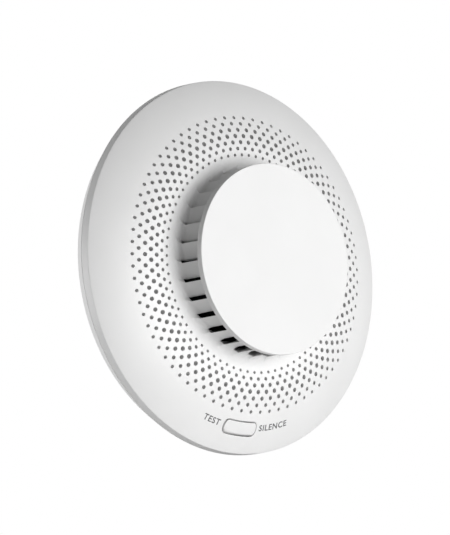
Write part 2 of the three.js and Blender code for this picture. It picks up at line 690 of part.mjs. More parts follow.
function chamberBase() {
  const floor = rod(chamberRadius, partsFoot, chamberFloorTop, [0, 0], ROUND_STEPS);
  const elbow = VANE_LENGTH / 2;
  const vaneShape = outlineShape([
    [-elbow, 0],
    [0, -VANE_BEND],
    [elbow, 0],
    [elbow, VANE_THICKNESS],
    [0, VANE_THICKNESS - VANE_BEND],
    [-elbow, VANE_THICKNESS],
  ]);
  const vane = moved(turned(prism(vaneShape, chamberFloorTop - BITE, vaneTop), VANE_TURN),
    chamberRadius - elbow - BITE, 0);
  const vanes = Array.from({ length: VANE_COUNT }, (_, i) => turned(vane, (i * 360) / VANE_COUNT));
  const holderTop = opticsAxis - EMITTER_RADIUS - GAP;
  const halfLength = EMITTER_LENGTH / 2;
  const emitterHolder = block([OPTICS_FROM_CENTRE - halfLength, OPTICS_FROM_CENTRE + halfLength],
    [-EMITTER_RADIUS, EMITTER_RADIUS], [chamberFloorTop - BITE, holderTop]);
  const half = DETECTOR_SIZE / 2;
  const detectorHolder = block([OPTICS_FROM_CENTRE - half, OPTICS_FROM_CENTRE + half], [-half, half],
    [chamberFloorTop - BITE, opticsAxis - half - GAP]);
  return join(floor, ...vanes, turned(emitterHolder, 180), turned(detectorHolder, 180 - SCATTER_ANGLE));
}

place('chamber_base', chamberBase(), chamberPlastic);
place('chamber_lid', rod(chamberRadius, lidBack, lidFront, [0, 0], ROUND_STEPS), chamberPlastic);

function infraredEmitter() {
  const half = EMITTER_LENGTH / 2;
  const bulb = revolve([
    [0, -half],
    [EMITTER_RADIUS, -half],
    [EMITTER_RADIUS, half - EMITTER_RADIUS],
    [EMITTER_RADIUS * Math.SQRT1_2, half - EMITTER_RADIUS * (1 - Math.SQRT1_2)],
    [0, half],
  ], BOSS_STEPS);
  return turned(moved(bulb.rotate([0, -90, 0]), OPTICS_FROM_CENTRE, 0, opticsAxis), 180);
}

place('infrared_emitter', infraredEmitter(), emitterEpoxy);
const half = DETECTOR_SIZE / 2;
place('photodiode', turned(block([OPTICS_FROM_CENTRE - half, OPTICS_FROM_CENTRE + half], [-half, half],
  [opticsAxis - half, opticsAxis + half]), 180 - SCATTER_ANGLE), detectorBlack);

// ---------------------------------------------------------------- sounder

const sounderBack = rearInside + GAP;
const sounderFront = sounderBack + SOUNDER_HEIGHT;
const discRadius = SOUNDER_RADIUS - SOUNDER_WALL - GAP;
const discBack = sounderBack + GAP;
const ceramicBack = discBack + DISC_THICKNESS + GAP;

place('sounder_cup', moved(revolve([
  [SOUNDER_RADIUS - SOUNDER_WALL, sounderBack],
  [SOUNDER_RADIUS, sounderBack],
  [SOUNDER_RADIUS, sounderFront],
  [SOUNDER_PORT, sounderFront],
  [SOUNDER_PORT, sounderFront - SOUNDER_WALL],
  [SOUNDER_RADIUS - SOUNDER_WALL, sounderFront - SOUNDER_WALL],
]), 0, SOUNDER_FROM_CENTRE), switchBlack);
place('sounder_disc',
  rod(discRadius, discBack, discBack + DISC_THICKNESS, [0, SOUNDER_FROM_CENTRE]), brass);
place('sounder_ceramic',
  rod(CERAMIC_RADIUS, ceramicBack, ceramicBack + DISC_THICKNESS, [0, SOUNDER_FROM_CENTRE]), ceramic);

const leadFoot = SOUNDER_FROM_CENTRE - SOUNDER_RADIUS;
for (const [colour, side, material] of [['red', -1, leadRed], ['black', 1, leadBlack]]) {
  const high = Math.max(sounderFront, boardFront) + GAP + LEAD_RADIUS;
  const route = LEAD_ROUTE.map(([aside, along, out]) => [side * aside, leadFoot + along, high + out]);
  place(`sounder_lead_${colour}`, tube(route, LEAD_RADIUS, 8, LEAD_STEPS), material);
}

// ---------------------------------------------------------------- cells, contacts and doors

// A cell lies along y with its nub towards +y. Its bay holds a flat contact at the nub and a
// coil spring on a plate at the other end.
function cell() {
  const bodyEnd = cellNubEnd - CELL_NUB_LENGTH;
  const cellFoot = cellNubEnd - CELL_LENGTH;
  const turn = revolve([
    [0, cellFoot],
    [CELL_RADIUS - GAP, cellFoot],
    [CELL_RADIUS, cellFoot + GAP],
    [CELL_RADIUS, bodyEnd - GAP],
    [CELL_RADIUS - GAP, bodyEnd],
    [CELL_NUB_RADIUS, bodyEnd],
    [CELL_NUB_RADIUS, cellNubEnd],
    [0, cellNubEnd],
  ]);
  return moved(turn.rotate([-90, 0, 0]), 0, 0, cellHeight);
}

function contactPlate(yNear, yFar) {
  const reach = CELL_RADIUS - CONTACT_MARGIN;
  return block([-reach, reach], [yNear, yFar], [rearInside + GAP, rearInside + BAY_WALL_HEIGHT]);
}

function flatContact() {
  return contactPlate(cellNubEnd + GAP, cellNubEnd + GAP + CONTACT_THICKNESS);
}

function springContact() {
  const plateFace = -(bayEnd - GAP - CONTACT_THICKNESS);
  const reach = cellNubEnd - CELL_LENGTH - GAP - SPRING_WIRE - plateFace;
  const steps = SPRING_TURNS * 10;
  const points = Array.from({ length: steps + 1 }, (_, i) => {
    const share = i / steps;
    const radius = SPRING_RADIUS - SPRING_TAPER * share;
    const angle = share * SPRING_TURNS * 2 * Math.PI;
    const height = cellHeight - SPRING_DROP + radius * Math.sin(angle);
    return [radius * Math.cos(angle), plateFace + reach * share, height];
  });
  return join(contactPlate(plateFace - CONTACT_THICKNESS, plateFace), tube(points, SPRING_WIRE, 6, steps));
}

// A door's top end is a round knuckle that it turns on; its lower end has a finger notch.
const doorPivot = doorHalfLength - DOOR_THICKNESS / 2;
const doorMiddle = rearFace + DOOR_THICKNESS / 2;

function batteryDoor() {
  const panel = block([-doorHalfWidth, doorHalfWidth], [-doorHalfLength, doorPivot],
    [rearFace, rearFace + DOOR_THICKNESS]);
  const knuckle = rod(DOOR_THICKNESS / 2, -doorHalfWidth, doorHalfWidth, [0, 0], BOSS_STEPS)
    .rotate([0, 90, 0]);
  const notch = rod(FINGER_NOTCH, rearFace - OVERCUT, rearFace + DOOR_THICKNESS / 2,
    [0, -doorHalfLength], BOSS_STEPS);
  return cut(join(panel, moved(knuckle, 0, doorPivot, doorMiddle)), notch);
}

for (const [side, x, turn] of [['left', -CELL_FROM_CENTRE, 180], ['right', CELL_FROM_CENTRE, 0]]) {
  place(`cell_${side}`, moved(turned(cell(), turn), x, 0), cellJacket);
  place(`flat_contact_${side}`, moved(turned(flatContact(), turn), x, 0), springSteel);
  place(`spring_contact_${side}`, moved(turned(springContact(), turn), x, 0), springSteel);
  place(`battery_door_${side}`, moved(batteryDoor(), x, 0), whitePlastic);
}

// The front faces -Y and +Z is up.
detector.rotation.x = Math.PI / 2;

export default detector;
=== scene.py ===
"""Looks for the wall-mounted smoke detector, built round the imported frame.

Lengths in the shape code are millimetres: r and angle are polar round the detector's axis as
seen from the front, angle anticlockwise from +X, and depth is the distance out from the wall.
"""
import json
import math

import bmesh
import bpy
import numpy as np
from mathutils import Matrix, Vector

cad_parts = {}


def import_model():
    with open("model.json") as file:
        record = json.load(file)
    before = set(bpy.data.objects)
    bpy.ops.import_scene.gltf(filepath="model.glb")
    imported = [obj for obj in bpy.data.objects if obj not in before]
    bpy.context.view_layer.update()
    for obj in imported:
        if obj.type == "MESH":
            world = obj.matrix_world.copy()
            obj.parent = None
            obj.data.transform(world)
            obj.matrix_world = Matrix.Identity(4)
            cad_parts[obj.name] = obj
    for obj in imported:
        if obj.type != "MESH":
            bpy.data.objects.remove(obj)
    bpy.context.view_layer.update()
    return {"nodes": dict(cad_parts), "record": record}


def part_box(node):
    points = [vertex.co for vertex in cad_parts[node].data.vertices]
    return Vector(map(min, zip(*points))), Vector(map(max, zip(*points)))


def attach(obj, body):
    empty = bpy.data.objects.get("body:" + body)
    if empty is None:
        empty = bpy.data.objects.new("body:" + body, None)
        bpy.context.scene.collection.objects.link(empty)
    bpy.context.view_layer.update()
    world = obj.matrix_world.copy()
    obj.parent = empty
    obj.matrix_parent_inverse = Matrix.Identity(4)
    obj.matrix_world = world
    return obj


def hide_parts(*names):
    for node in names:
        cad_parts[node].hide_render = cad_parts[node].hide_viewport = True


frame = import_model()
MM = 0.001


# ------------------------------------------------------------------ sizes from the frame

def span(node):
    """Largest radius, lowest and highest depth of a CAD node, in millimetres."""
    low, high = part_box(node)
    return high.x / MM, -high.y / MM, -low.y / MM


COVER_R, _, cover_top = span("front_cover")
CAP_R, CAP_FOOT, cap_top = span("front_cap")
EAR_OUT, EAR_FOOT, _ = span("test_button")
_, REAR_FACE, _ = span("rear_housing")
_, _, SWITCH_TOP = span("tact_switch_body")
_, _, PLUNGER_TOP = span("tact_switch_plunger")

GAP = 0.3  # clearance between neighbouring pieces
WALL = 2.0

# The rim and the dished face, outward from the wall
REAR_DEPTH = 5.5  # of the rear shell, from its face to the seam
RIM_BAND = 2.8  # the rim's straight side
RIM_LEAN = math.radians(38)  # where the face leaves the rim
RIM_HANDLE = 7.5  # how long the face holds the rim's lean
RIM_EASE = 0.4  # rounding of the rim's front edge
RIM_SHUT = 0.06  # the rim shuts on the rear shell to a hairline
RIM_CHAMFER = 0.1
FACE_RISE = 9.8  # from the rim's front edge to the crest
CREST_HANDLE = 7.0  # how long the face runs level before the crest
CREST_R = 36.8
SEAM = REAR_FACE + REAR_DEPTH
RIM_FOOT = SEAM + RIM_SHUT
RIM_FRONT = SEAM + GAP + RIM_BAND
CREST_DEPTH = RIM_FRONT + FACE_RISE

# The neck
NECK_LIFT = 0.6  # the neck and its disc stand this much further out than their plain solids
NECK_R = 28.6
NECK_FILLET = 2.0
NECK_TOP = cover_top + NECK_LIFT

# Perforations: rings of round holes, outermost first, alternate rings half a pitch round
HOLES_ROUND = 75
HOLE_PITCH = 360 / HOLES_ROUND
FIRST_HOLE = -86.84  # degrees, as are all angles here
OUTER_RING_R = 47.39
RING_STEP = 2.06
HOLE_RADII = [0.54, 0.62, 0.69, 0.74, 0.69, 0.6, 0.49]  # largest in the middle of the band
HOLE_EASE = 0.07
RING_R = [OUTER_RING_R - RING_STEP * i for i in range(len(HOLE_RADII))]
BAND_OUTER = RING_R[0] + RING_STEP / 2
BAND_INNER = RING_R[-1] - RING_STEP / 2

# Air slots
SLOT_COUNT = 30
SLOT_PITCH = 360 / SLOT_COUNT
SLOT_WIDTH = 1.7
SLOT_SKEW = 48.0  # degrees off the radius
SLOT_SILL = 0.13  # from the crest to the slots' lower ends
SLOT_FOOT = CREST_DEPTH + SLOT_SILL
SLOT_TOP_RING = 1.3  # solid ring left above the slots
SLOT_TOP = NECK_TOP - SLOT_TOP_RING
SLOT_POINT = 0.3  # degrees the slots are still open at their outer ends
SLOT_FADE = 2.7  # degrees over which the next slat's step fades out beyond a slot's end
FIRST_SLOT = -88.7

# Slats between the slots: each is a flat blade whose leading edge stands out from the neck
SLAT_TIP_R = 30.2
SLAT_ROUNDING = 0.6

# The disc on the neck, and the ring under it that plugs into the neck
DISC_SPREAD = 0.6  # it stands a little past the slats' tips
DISC_R = CAP_R + DISC_SPREAD
DISC_EASE = 0.2
DISC_FRONT = cap_top + NECK_LIFT
DISC_BACK = NECK_TOP + GAP
SPIGOT_WALL = 1.5
SPIGOT_OUTER = NECK_R - WALL - GAP
SPIGOT_INNER = SPIGOT_OUTER - SPIGOT_WALL

# The button, whose half sizes run along the face's ring and out from it
BUTTON_ANGLE = -90.0
BUTTON_R = 52.6
BUTTON_HALF = (6.55, 1.85)
BUTTON_CORNER = 1.5
BUTTON_GAP = 0.43
BUTTON_PROUD = 0.4
BUTTON_WALL = 1.0
BUTTON_EASE = 0.4
OPENING_EASE = 0.12
SKIRT_REACH = 0.9  # how far the button's skirt reaches behind its switch's top
BUTTON_FOOT = SWITCH_TOP - SKIRT_REACH
LEG_THICKNESS = 1.5
LEG_INSET = 0.1
LEG_OVERLAP = 0.5  # how far a leg runs up into the button
EAR_THICKNESS = 1.1

# The strips that back the long edges of the battery doorways
LEDGE_CLEAR = 0.05
LEDGE_THICKNESS = 0.4
LEDGE_REACH = 0.4  # how far a strip reaches behind its door
LEDGE_BITE = 0.2  # how far it sinks into the shell


# ------------------------------------------------------------------ outlines

def bezier(a, b, c, d, steps):
    """Points on a cubic curve from a to d, with b and c as its handles."""
    t = np.linspace(0, 1, steps + 1)[:, None]
    a, b, c, d = (np.array(p, float) for p in (a, b, c, d))
    return (1 - t) ** 3 * a + 3 * (1 - t) ** 2 * t * b + 3 * (1 - t) * t**2 * c + t**3 * d


def arc(centre, radius, start, end, steps):
    """Points on an arc in the (r, depth) plane, angles in degrees from +r towards +depth."""
    t = np.radians(np.linspace(start, end, steps + 1))
    return np.c_[centre[0] + radius * np.cos(t), centre[1] + radius * np.sin(t)]


DISH_STEPS = 400
LEVEL_POINTS = 40
FILLET_STEPS = 60
dish = bezier(
    (COVER_R, RIM_FRONT),
    (COVER_R - RIM_HANDLE * math.cos(RIM_LEAN), RIM_FRONT + RIM_HANDLE * math.sin(RIM_LEAN)),
    (CREST_R + CREST_HANDLE, CREST_DEPTH),
    (CREST_R, CREST_DEPTH),
    DISH_STEPS,
)
crest_r = np.linspace(CREST_R, NECK_R + NECK_FILLET, LEVEL_POINTS)
crest = np.c_[crest_r, np.full(LEVEL_POINTS, CREST_DEPTH)]
neck_middle = (NECK_R + NECK_FILLET, CREST_DEPTH + NECK_FILLET)
neck_foot = arc(neck_middle, NECK_FILLET, -90, -180, FILLET_STEPS)
outline = np.vstack([dish, crest[1:], neck_foot[1:], [(NECK_R, NECK_TOP)]])


def shifted(points, by):
    """The outline moved along its own normals, towards the wall for by > 0."""
    along = np.gradient(points, axis=0)
    along /= np.linalg.norm(along, axis=1)[:, None]
    return points + by * np.c_[-along[:, 1], along[:, 0]]


lining = shifted(outline, WALL)


def depth_at(curve, r):
    """Depth of a curve at a radius, where the curve runs inward from the rim."""
    return float(np.interp(-r, -curve[:, 0], curve[:, 1]))


# ------------------------------------------------------------------ mesh building

SHARP = 35  # degrees between two faces beyond which their edge is shaded sharp
COVER_SHARP = 32
WORD_SHARP = 30
COPY_SHARP = 12
WELD = 1e-7  # in metres
PLACES = 4  # decimals of a millimetre to which corners have to agree to be one


class Skin:
    """Collects a mesh's faces; corners at the same place become one vertex."""

    def __init__(self):
        self.points = []
        self.faces = []
        self.known = {}

    def at(self, r, angle, depth):
        """The vertex at a polar place."""
        t = math.radians(angle)
        return self.xyz(r * math.cos(t), r * math.sin(t), depth)

    def xyz(self, x, y, depth):
        """The vertex at a place given to the right, up and out from the wall."""
        key = (round(x, PLACES), round(y, PLACES), round(depth, PLACES))
        if key not in self.known:
            self.known[key] = len(self.points)
            self.points.append((x * MM, -depth * MM, y * MM))
        return self.known[key]

    def face(self, corners):
        """A face, unless too few of its corners differ."""
        kept = [c for i, c in enumerate(corners) if c != corners[i - 1]]
        if len(kept) > 2:
            self.faces.append(kept)

    def strip(self, near, far, closed=True):
        """Quads between two rows of the same length."""
        count = len(near)
        for i in range(count if closed else count - 1):
            j = (i + 1) % count
            self.face([near[i], near[j], far[j], far[i]])

    def strips(self, rows):
        """Quads from each closed row to the next."""
        for near, far in zip(rows, rows[1:]):
            self.strip(near, far)

    def object(self, name, sharp=SHARP):
        """The finished piece."""
        mesh = bpy.data.meshes.new(name)
        mesh.from_pydata(self.points, [], self.faces)
        work = bmesh.new()
        work.from_mesh(mesh)
        return finished(name, work, sharp)


def finished(name, work, sharp):
    """A new object: faces turned outward, and smooth shading between its sharp edges."""
    mesh = bpy.data.meshes.new(name)
    bmesh.ops.recalc_face_normals(work, faces=work.faces)
    work.to_mesh(mesh)
    work.free()
    mesh.shade_smooth()
    mesh.set_sharp_from_angle(angle=math.radians(sharp))
    piece = bpy.data.objects.new(name, mesh)
    bpy.context.scene.collection.objects.link(piece)
    return piece


ROUND_SIDES = 240


def turned(name, points):
    """An (r, depth) outline that starts and ends on the axis, turned about it."""
    skin = Skin()
    rows = []
    for r, depth in points:
        if r == 0:
            rows.append([skin.xyz(0, 0, depth)] * ROUND_SIDES)
        else:
            rows.append([skin.at(r, 360 * i / ROUND_SIDES, depth) for i in range(ROUND_SIDES)])
    skin.strips(rows)
    return skin.object(name)


CAD_FACET = 6.0  # degrees of each straight stretch round the CAD's turned pieces
FACET_CUTS = 3  # how many finer stretches each of those is cut into


def rounded_copy(name, node, bands):
    """A copy of a CAD node, cut finer round the axis, with its round walls bent onto true circles.

    bands are the ranges of radius, in millimetres, where the walls are round.
    """
    work = bmesh.new()
    work.from_mesh(frame["nodes"][node].data)
    bmesh.ops.remove_doubles(work, verts=work.verts, dist=WELD)
    step = CAD_FACET / FACET_CUTS
    for i in range(round(180 / step)):
        if i % FACET_CUTS:
            t = math.radians(step * i)
            everything = work.verts[:] + work.edges[:] + work.faces[:]
            bmesh.ops.bisect_plane(work, geom=everything, dist=WELD, plane_co=(0, 0, 0),
                                   plane_no=(math.sin(t), 0, -math.cos(t)))
    for vertex in work.verts:
        r = math.hypot(vertex.co.x, vertex.co.z) / MM
        if any(low < r < high for low, high in bands):
            turn = math.degrees(math.atan2(vertex.co.z, vertex.co.x)) % CAD_FACET - CAD_FACET / 2
            outward = math.cos(math.radians(turn)) / math.cos(math.radians(CAD_FACET / 2))
            vertex.co.x *= outward
            vertex.co.z *= outward
    return finished(name, work, COPY_SHARP)


def dressed(piece, look, body, slot, *nodes):
    """Gives a piece its material and its body, and hides the CAD nodes it stands for; the slot is not used.
    """
    piece.data.materials.clear()
    piece.data.materials.append(look)
    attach(piece, body)
    if nodes:
        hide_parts(*nodes)


# ------------------------------------------------------------------ materials

def material(name, color, roughness, metallic=0.0):
    """A Principled material with its plain values on the shader's own sockets."""
    made = bpy.data.materials.new(name)
    made.use_nodes = True
    shader = made.node_tree.nodes["Principled BSDF"]
    shader.inputs["Base Color"].default_value = (*color, 1)
    shader.inputs["Roughness"].default_value = roughness
    shader.inputs["Metallic"].default_value = metallic
    return made


def noise(made, scale, detail):
    """An object-space noise node of features about 1 / scale metres."""
    nodes, links = made.node_tree.nodes, made.node_tree.links
    place = nodes.new("ShaderNodeTexCoord")
    texture = nodes.new("ShaderNodeTexNoise")
    texture.inputs["Scale"].default_value = scale
    texture.inputs["Detail"].default_value = detail
    links.new(place.outputs["Object"], texture.inputs["Vector"])
    return texture


def bumped(made, source, height):
    """Raises the surface by up to a height, in metres, where an output is bright."""
    nodes, links = made.node_tree.nodes, made.node_tree.links
    bump = nodes.new("ShaderNodeBump")
    bump.inputs["Strength"].default_value = 1.0
    bump.inputs["Distance"].default_value = height
    links.new(source, bump.inputs["Height"])
    links.new(bump.outputs["Normal"], nodes["Principled BSDF"].inputs["Normal"])


def ramped(made, source, positions, colors):
    """Colours the surface between two colours, as an output runs between two positions."""
    nodes, links = made.node_tree.nodes, made.node_tree.links
    ramp = nodes.new("ShaderNodeValToRGB")
    for element, position, color in zip(ramp.color_ramp.elements, positions, colors):
        element.position = position
        element.color = (*color, 1)
    links.new(source, ramp.inputs["Fac"])
    links.new(ramp.outputs["Color"], nodes["Principled BSDF"].inputs["Base Color"])


GRAIN_DETAIL = 3.0
DRIFT_DETAIL = 2.0
DRIFT_SPAN = (0.35, 0.65)  # the noise's values at which a drift reaches its two colours


def grained(made, scale, height, colors, drift_scale, roughness):
    """Adds a fine moulded or rolled grain, and a soft drift of colour and gloss."""
    nodes, links = made.node_tree.nodes, made.node_tree.links
    bumped(made, noise(made, scale, GRAIN_DETAIL).outputs["Fac"], height)
    drift = noise(made, drift_scale, DRIFT_DETAIL).outputs["Fac"]
    ramped(made, drift, DRIFT_SPAN, colors)
    spread = nodes.new("ShaderNodeMapRange")
    spread.inputs["To Min"].default_value = roughness[0]
    spread.inputs["To Max"].default_value = roughness[1]
    links.new(drift, spread.inputs["Value"])
    links.new(spread.outputs["Result"], nodes["Principled BSDF"].inputs["Roughness"])
    return made


UNIT_WAVES = 3.2  # about how many waves the texture has in a metre at a scale of 1
# The same values set where the wires' colour reaches its darker and its lighter end: the darker, at the
# feet, is painted shade between the wires.
WIRE_SPAN = (0.55, 0.85)  # a wave's values at a wire's foot and on its crown


def woven(made, pitch, colors, height):
    """Wires crossing round and along the axis, as two sets of waves in colour and height: the colour darkens
    towards the wires' feet as painted shade between them and lightens on their crowns.
    """
    nodes, links = made.node_tree.nodes, made.node_tree.links
    place = nodes.new("ShaderNodeTexCoord")
    cross = nodes.new("ShaderNodeMath")
    cross.operation = "MAXIMUM"
    for direction, socket in zip(("DIAGONAL", "Y"), cross.inputs):
        wave = nodes.new("ShaderNodeTexWave")
        wave.bands_direction = direction
        wave.inputs["Scale"].default_value = 1 / pitch / UNIT_WAVES
        links.new(place.outputs["Object"], wave.inputs["Vector"])
        links.new(wave.outputs["Fac"], socket)
    ramped(made, cross.outputs[0], WIRE_SPAN, colors)
    bumped(made, cross.outputs[0], height)
    return made


# How fine each grain is: its features are about 1 / grain metres.
MOULD_GRAIN = 5200.0
METAL_GRAIN = 9000.0
BOARD_GRAIN = 2600.0
EPOXY_GRAIN = 3000.0
INK_GRAIN = 9000.0
EPOXY_CLARITY = 0.6
MESH_PITCH = 0.0007

# One look for each material slot of the record: colour, roughness, metallic, then the grain's
# scale and height, the two colours it drifts between, how quickly, and the range of roughness.
LOOKS = {
    "white_plastic": ((0.86, 0.86, 0.858), 0.42, 0, MOULD_GRAIN, 4e-6,
                      (0.852, 0.852, 0.849), (0.868, 0.868, 0.866), 45, (0.38, 0.46)),
    "bracket_plastic": ((0.81, 0.81, 0.80), 0.5, 0, MOULD_GRAIN, 5e-6,
                        (0.79, 0.79, 0.775), (0.83, 0.83, 0.82), 60, (0.45, 0.58)),
    "chamber_plastic": ((0.012, 0.012, 0.013), 0.7, 0, MOULD_GRAIN, 8e-6,
                        (0.009, 0.009, 0.009), (0.017, 0.017, 0.018), 300, (0.62, 0.8)),
    "board": ((0.015, 0.10, 0.045), 0.35, 0, BOARD_GRAIN, 6e-6,
              (0.010, 0.080, 0.034), (0.024, 0.13, 0.062), 900, (0.28, 0.45)),
    "screw_steel": ((0.55, 0.56, 0.57), 0.32, 1, METAL_GRAIN, 2e-6,
                    (0.48, 0.49, 0.51), (0.62, 0.62, 0.61), 700, (0.25, 0.42)),
    "contact_steel": ((0.62, 0.60, 0.56), 0.25, 1, METAL_GRAIN, 1.5e-6,
                      (0.56, 0.54, 0.50), (0.68, 0.67, 0.63), 500, (0.2, 0.34)),
    "sounder_brass": ((0.62, 0.42, 0.13), 0.3, 1, METAL_GRAIN, 2e-6,
                      (0.55, 0.36, 0.10), (0.68, 0.48, 0.17), 400, (0.24, 0.4)),
    "sounder_ceramic": ((0.78, 0.76, 0.70), 0.45, 0.2, MOULD_GRAIN, 3e-6,
                        (0.74, 0.72, 0.66), (0.82, 0.80, 0.75), 500, (0.4, 0.55)),
    "cell_jacket": ((0.028, 0.033, 0.042), 0.3, 0, MOULD_GRAIN, 2e-6,
                    (0.022, 0.026, 0.034), (0.038, 0.044, 0.054), 120, (0.25, 0.38)),
    "capacitor_sleeve": ((0.014, 0.016, 0.024), 0.35, 0, MOULD_GRAIN, 2e-6,
                         (0.010, 0.012, 0.019), (0.020, 0.022, 0.031), 400, (0.3, 0.42)),
    "black_plastic": ((0.010, 0.011, 0.011), 0.5, 0, MOULD_GRAIN, 6e-6,
                      (0.007, 0.008, 0.008), (0.015, 0.016, 0.016), 300, (0.42, 0.58)),
    "plunger_plastic": ((0.57, 0.57, 0.54), 0.4, 0, MOULD_GRAIN, 3e-6,
                        (0.54, 0.54, 0.51), (0.60, 0.60, 0.57), 500, (0.35, 0.48)),
    "clear_epoxy": ((0.62, 0.77, 0.64), 0.12, 0, EPOXY_GRAIN, 1e-6,
                    (0.58, 0.73, 0.60), (0.66, 0.80, 0.68), 500, (0.08, 0.18)),
    "emitter_epoxy": ((0.11, 0.155, 0.27), 0.15, 0, EPOXY_GRAIN, 1e-6,
                      (0.09, 0.13, 0.23), (0.13, 0.18, 0.31), 500, (0.1, 0.22)),
    "lead_red": ((0.39, 0.013, 0.011), 0.4, 0, MOULD_GRAIN, 2e-6,
                 (0.34, 0.010, 0.008), (0.44, 0.018, 0.015), 500, (0.34, 0.48)),
    "lead_black": ((0.010, 0.010, 0.010), 0.4, 0, MOULD_GRAIN, 2e-6,
                   (0.007, 0.007, 0.007), (0.014, 0.014, 0.014), 500, (0.34, 0.48)),
}


def grained_look(name, color, roughness, metallic, grain, height, dark, light, drift_scale, gloss):
    """A grained material from one row of plain values."""
    made = material(name, color, roughness, metallic)
    return grained(made, grain, height, (dark, light), drift_scale, gloss)


looks = {slot: grained_look(slot, *values) for slot, values in LOOKS.items()}
epoxy = looks["clear_epoxy"].node_tree.nodes["Principled BSDF"]
epoxy.inputs["Transmission Weight"].default_value = EPOXY_CLARITY
# The screen's colours run from near black at the wires' feet, painted shade between the wires, to a lighter
# dark grey on their crowns.
looks["screen_metal"] = woven(material("screen_metal", (0.02, 0.02, 0.021), 0.55, 0.6), MESH_PITCH,
                              ((0.003, 0.003, 0.003), (0.030, 0.030, 0.032)), 5e-5)
ink = grained_look("grey_ink", (0.10, 0.10, 0.105), 0.6, 0, INK_GRAIN, 1e-6,
                   (0.08, 0.08, 0.084), (0.12, 0.12, 0.126), 1500, (0.5, 0.7))


# ------------------------------------------------------------------ front cover

HALF = HOLE_PITCH / 2
HOLE_SIDES = 16
SLOT_COLUMNS = 4
BLADE_COLUMNS = 6
FOOT_ROWS = 6
FOOT_CROWDING = 1.6  # above 1, the foot's rows crowd towards its lower end
NECK_ROWS = 4
RAMP_ROWS = 5  # rows of the foot that a slot's ramp climbs along the next slat's leading edge
LEVEL_GAP = 0.7  # between the perforated band and the plain circle inside it
LEVEL_SHARE = 0.25  # of each sector of that circle, taken by the slot's columns
OUTER_COLUMNS = 8  # columns of the outer dish for each edge of the perforated band
OUTER_ROWS = 15
OUTER_START = 49.2  # radius of the outer dish's first row


def perforated_cell(skin, ring, middle, curve, ease):
    """One hole, its mouth wider by an ease, with the patch of face or lining round it."""
    inner, centre, outer = RING_R[ring] - RING_STEP / 2, RING_R[ring], RING_R[ring] + RING_STEP / 2
    edge = [(outer, 0), (outer, HALF), (centre, HALF), (inner, HALF),
            (inner, 0), (inner, -HALF), (centre, -HALF), (outer, -HALF)]
    border = [skin.at(r, middle + turn, depth_at(curve, r)) for r, turn in edge]
    mouth = hole_loop(skin, ring, middle, curve, HOLE_RADII[ring] + ease, 0)
    for i in range(len(edge)):
        j = (i + 1) % len(edge)
        skin.face([border[i], border[j], mouth[(2 * i + 2) % HOLE_SIDES], mouth[2 * i + 1], mouth[2 * i]])
    return mouth


def hole_loop(skin, ring, middle, curve, radius, sink):
    """The corners of one hole's edge, on a curve or sunk below it."""
    t = math.radians(middle)
    centre_x, centre_y = RING_R[ring] * math.cos(t), RING_R[ring] * math.sin(t)
    loop = []
    for k in range(HOLE_SIDES):
        a = t + 2 * math.pi * k / HOLE_SIDES
        x, y = centre_x + radius * math.cos(a), centre_y + radius * math.sin(a)
        loop.append(skin.xyz(x, y, depth_at(curve, math.hypot(x, y)) - sink))
    return loop


def perforations(skin):
    """The rings of holes, each hole eased at its mouth and open through the wall."""
    for ring in range(len(RING_R)):
        for number in range(HOLES_ROUND):
            middle = FIRST_HOLE + HOLE_PITCH * (number + 0.5 * (ring % 2))
            mouth = perforated_cell(skin, ring, middle, outline, HOLE_EASE)
            throat = hole_loop(skin, ring, middle, outline, HOLE_RADII[ring], HOLE_EASE)
            back = perforated_cell(skin, ring, middle, lining, 0)
            skin.strips([mouth, throat, back])


SKEW_OFFSET = NECK_R * math.sin(math.radians(SLOT_SKEW))  # from the axis to a slot's middle line


def slot_side(r, side):
    """Angle of the first slot's side at a radius: -1 at a slat's square heel, 1 at the next one's back."""
    across = NECK_R if side < 0 else r
    reach = (SKEW_OFFSET + side * SLOT_WIDTH / 2) / across
    return FIRST_SLOT - SLOT_SKEW + math.degrees(math.asin(reach))


def plan_point(r, angle):
    """A polar place as a plain point seen from the front."""
    t = math.radians(angle)
    return np.array([r * math.cos(t), r * math.sin(t)])


def blade_plan():
    """One slat's outer face from its tip to its slot side, as (r, angle) columns."""
    tip = plan_point(SLAT_TIP_R, slot_side(SLAT_TIP_R, 1))
    heel = plan_point(NECK_R, slot_side(NECK_R, -1) + SLOT_PITCH)
    along = (heel - tip) / np.linalg.norm(heel - tip)
    inner = plan_point(NECK_R - WALL, slot_side(NECK_R - WALL, -1) + SLOT_PITCH)
    inward = (inner - heel) / np.linalg.norm(inner - heel)
    turn = math.acos(float(np.clip(along @ inward, -1, 1)))
    back = SLAT_ROUNDING * math.tan(turn / 2)
    start = heel - along * back
    points = [tip + (start - tip) * i / BLADE_COLUMNS for i in range(BLADE_COLUMNS + 1)]
    side = np.array([along[1], -along[0]])
    if side @ inward < 0:
        side = -side
    for i in range(1, BLADE_COLUMNS + 1):
        t = turn * i / BLADE_COLUMNS
        points.append(start + SLAT_ROUNDING * (along * math.sin(t) + side * (1 - math.cos(t))))
    return [(float(np.hypot(*p)), math.degrees(math.atan2(p[1], p[0]))) for p in points]


# One slat's columns, their angles running on past 180 degrees instead of starting again
blade = [(r, a if a > slot_side(NECK_R, -1) else a + 360) for r, a in blade_plan()]
SLAT_COLUMNS = len(blade) - 1
NECK_COLUMNS = SLOT_COLUMNS + SLAT_COLUMNS


def foot_out(depth):
    """How far the neck's foot stands out from the neck at a depth."""
    rise = depth - CREST_DEPTH
    if rise >= NECK_FILLET:
        return 0.0
    return NECK_FILLET - math.sqrt(NECK_FILLET**2 - (NECK_FILLET - rise) ** 2)


def lining_depth(r):
    """Depth of the inside face where it rounds the foot's fillet; level further out."""
    past = max(NECK_R + NECK_FILLET - r, 0)
    return CREST_DEPTH + NECK_FILLET - math.sqrt((NECK_FILLET + WALL) ** 2 - past**2)


SLOT_END_OUT = foot_out(SLOT_FOOT)
LEVEL_R = BAND_INNER - LEVEL_GAP


